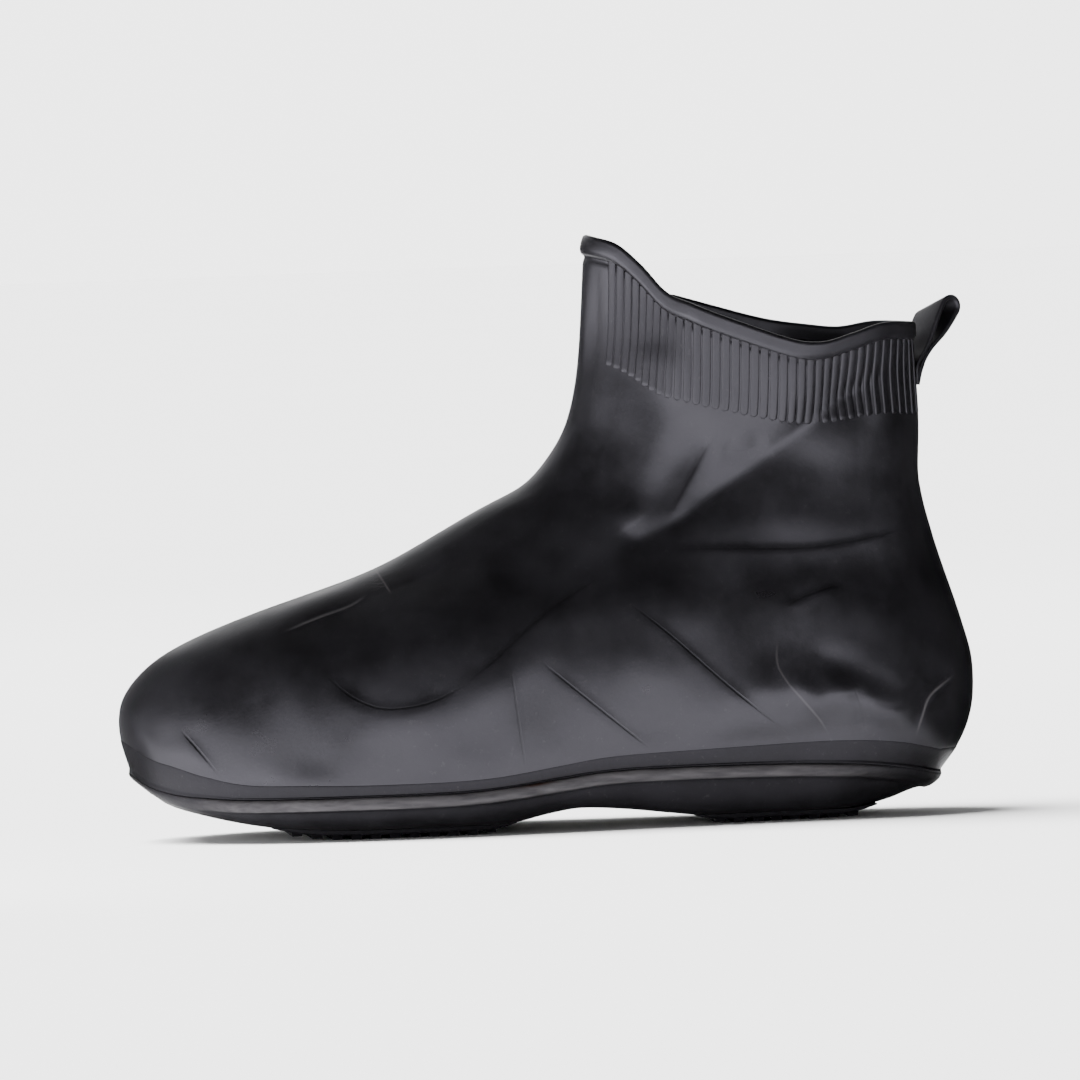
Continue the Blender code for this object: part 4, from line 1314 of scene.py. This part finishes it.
def matt_paint(name, colour):
    """Matt studio paint: even, pale and without gloss, with a breath of unevenness."""
    material = bpy.data.materials.new(name)
    material.use_nodes = True
    tree = material.node_tree
    shader = tree.nodes["Principled BSDF"]
    where = add(tree, "ShaderNodeTexCoord").outputs["Object"]
    clouds = {"Vector": where, "Scale": per_metre(PAINT_CLOUDS), "Detail": 2.0}
    mottle = add(tree, "ShaderNodeTexNoise", clouds).outputs["Fac"]
    darker = tuple(c * PAINT_DARKER for c in colour[:3]) + (1.0,)
    shades = {"Factor": mottle, 6: tuple(colour), 7: darker}
    shade = add(tree, "ShaderNodeMix", shades, data_type="RGBA").outputs[2]
    tree.links.new(shade, shader.inputs["Base Color"])
    shader.inputs["Roughness"].default_value = PAINT_ROUGHNESS
    shader.inputs["Specular IOR Level"].default_value = PAINT_GLOSS
    return material


def add_softbox(box):
    """A soft rectangular light that the camera doesn't see."""
    light = bpy.data.lights.new(box.name, "AREA")
    light.shape = "RECTANGLE"
    light.size, light.size_y = box.size
    light.energy = box.power
    lamp = new_object(box.name, light)
    lamp.location = box.place
    lamp.rotation_euler = (Vector(box.target) - Vector(box.place)).to_track_quat("-Z", "Y").to_euler()
    lamp.visible_camera = False


def studio_air():
    """A world with the studio's light by direction, weaker on the heel's side above the horizon."""
    world = bpy.data.worlds.new("studio air")
    world.use_nodes = True
    tree = world.node_tree
    sky = add(tree, "ShaderNodeTexCoord").outputs["Generated"]
    towards = add(tree, "ShaderNodeSeparateXYZ", {"Vector": sky}).outputs
    ramp = add(tree, "ShaderNodeValToRGB", {"Fac": towards["Z"]})
    ramp.color_ramp.interpolation = "EASE"
    bands = ramp.color_ramp.elements
    while len(bands) < len(AIR_BANDS):
        bands.new(1.0)
    for band, row in zip(bands, AIR_BANDS):
        level = row.light / AIR_PEAK
        band.position = row.height
        band.color = (level, level, level, 1.0)
    heel_side = add(tree, "ShaderNodeMapRange", {"Value": towards["X"], **HEEL_SIDE}).outputs["Result"]
    above = add(tree, "ShaderNodeMapRange", {"Value": towards["Z"], **OVER_HORIZON}).outputs["Result"]
    shades = {"Factor": above, "A": 1.0, "B": heel_side}
    shade = add(tree, "ShaderNodeMix", shades, data_type="FLOAT").outputs["Result"]
    strength = add(tree, "ShaderNodeMath", {0: shade, 1: AIR_PEAK}, operation="MULTIPLY")
    air = tree.nodes["Background"]
    tree.links.new(ramp.outputs["Color"], air.inputs["Color"])
    tree.links.new(strength.outputs["Value"], air.inputs["Strength"])
    return world


def floor_light(floor):
    """A broad overhead light that falls on the floor alone, so the rubber's slopes stay black."""
    light = bpy.data.lights.new("floor light", "SUN")
    light.energy = FLOOR_LIGHT
    light.angle = FLOOR_LIGHT_ANGLE
    lamp = new_object("floor light", light)
    lamp.location = (0.0, 0.0, FLOOR_LIGHT_HEIGHT)
    lamp.rotation_euler = Vector(FLOOR_LIGHT_AIM).to_track_quat("-Z", "Y").to_euler()
    lit = bpy.data.collections.new("lit floor")
    lit.objects.link(floor)
    lamp.light_linking.receiver_collection = lit


def studio_floor(colour):
    """A wide round floor of matt paint."""
    shape = bmesh.new()
    bmesh.ops.create_circle(shape, cap_ends=True, segments=FLOOR_SEGMENTS, radius=FLOOR_RADIUS)
    mesh = bpy.data.meshes.new("studio_floor")
    shape.to_mesh(mesh)
    shape.free()
    mesh.materials.append(matt_paint("matt studio paint", colour))
    floor = new_object("studio_floor", mesh)
    return floor


def dark_card(card):
    """A bent matt card that only the gloss of the rubber shows, which puts painted shade into its
    reflections.
    """
    bends = ((card.inner, CARD_LIFT), (card.outer, CARD_LIFT), (card.outer, card.height))
    corners = [(x, y, z) for x, z in bends for y in (card.near, card.far)]
    mesh = bpy.data.meshes.new(card.name)
    mesh.from_pydata(corners, [], [(0, 1, 3, 2), (2, 3, 5, 4)])
    mesh.materials.append(matt_paint("matt card", linear(card.colour)))
    obj = new_object(card.name, mesh)
    obj.visible_camera = False
    obj.visible_diffuse = False
    obj.visible_shadow = False


def studio_camera():
    """The camera, aimed at its target from the photo's angle."""
    level = math.cos(CAMERA_RISE)
    back = Vector((-math.sin(CAMERA_YAW) * level, -math.cos(CAMERA_YAW) * level, math.sin(CAMERA_RISE)))
    camera = bpy.data.cameras.new("camera")
    camera.lens = CAMERA_LENS
    camera.clip_end = CAMERA_SIGHT
    eye = new_object("camera", camera)
    eye.location = Vector(CAMERA_TARGET) + back * CAMERA_DISTANCE
    aim = (-back).to_track_quat("-Z", "Y").to_matrix().to_4x4()
    eye.rotation_euler = (aim @ Matrix.Rotation(CAMERA_ROLL, 4, "Z")).to_euler()
    return eye


class SHOECOVER_OT_stage(bpy.types.Operator):
    """Makes the floor, the studio light and the camera"""

    bl_idname = "shoe_cover.stage"
    bl_label = "Stage"

    def execute(self, context):
        floor = studio_floor(context.scene.shoe_cover_colours.floor)
        context.scene.world = studio_air()
        floor_light(floor)
        for box in SOFTBOXES:
            add_softbox(box)
        # Cards that paint shade into the rubber's reflections
        for card in CARDS:
            dark_card(card)
        context.scene.camera = studio_camera()
        return {"FINISHED"}


OPERATORS = (
    SHOECOVER_OT_stage,
    SHOECOVER_OT_upper,
    SHOECOVER_OT_ribs,
    SHOECOVER_OT_rand,
    SHOECOVER_OT_outsole,
    SHOECOVER_OT_treads,
    SHOECOVER_OT_loop,
)


class SHOECOVER_PT_panel(bpy.types.Panel):
    """Lists the cover's pieces, sizes and colours"""

    bl_idname = "SHOECOVER_PT_panel"
    bl_label = "Shoe cover"
    bl_space_type = "VIEW_3D"
    bl_region_type = "UI"
    bl_category = "Shoe cover"

    def draw(self, context):
        for operator in OPERATORS:
            self.layout.operator(operator.bl_idname)
        for group in (context.scene.shoe_cover_sizes, context.scene.shoe_cover_colours):
            box = self.layout.box()
            for name in group.__annotations__:
                box.prop(group, name)


CLASSES = (ShoeCoverSizes, ShoeCoverColours, *OPERATORS, SHOECOVER_PT_panel)


def register():
    for made in CLASSES:
        bpy.utils.register_class(made)
    bpy.types.Scene.shoe_cover_sizes = bpy.props.PointerProperty(type=ShoeCoverSizes)
    bpy.types.Scene.shoe_cover_colours = bpy.props.PointerProperty(type=ShoeCoverColours)


def unregister():
    del bpy.types.Scene.shoe_cover_colours
    del bpy.types.Scene.shoe_cover_sizes
    for made in reversed(CLASSES):
        bpy.utils.unregister_class(made)


def main():
    register()
    bpy.ops.shoe_cover.stage()
    bpy.ops.shoe_cover.upper()
    bpy.ops.shoe_cover.ribs()
    bpy.ops.shoe_cover.rand()
    bpy.ops.shoe_cover.outsole()
    bpy.ops.shoe_cover.treads()
    bpy.ops.shoe_cover.loop()


if __name__ == "__main__":
    main()
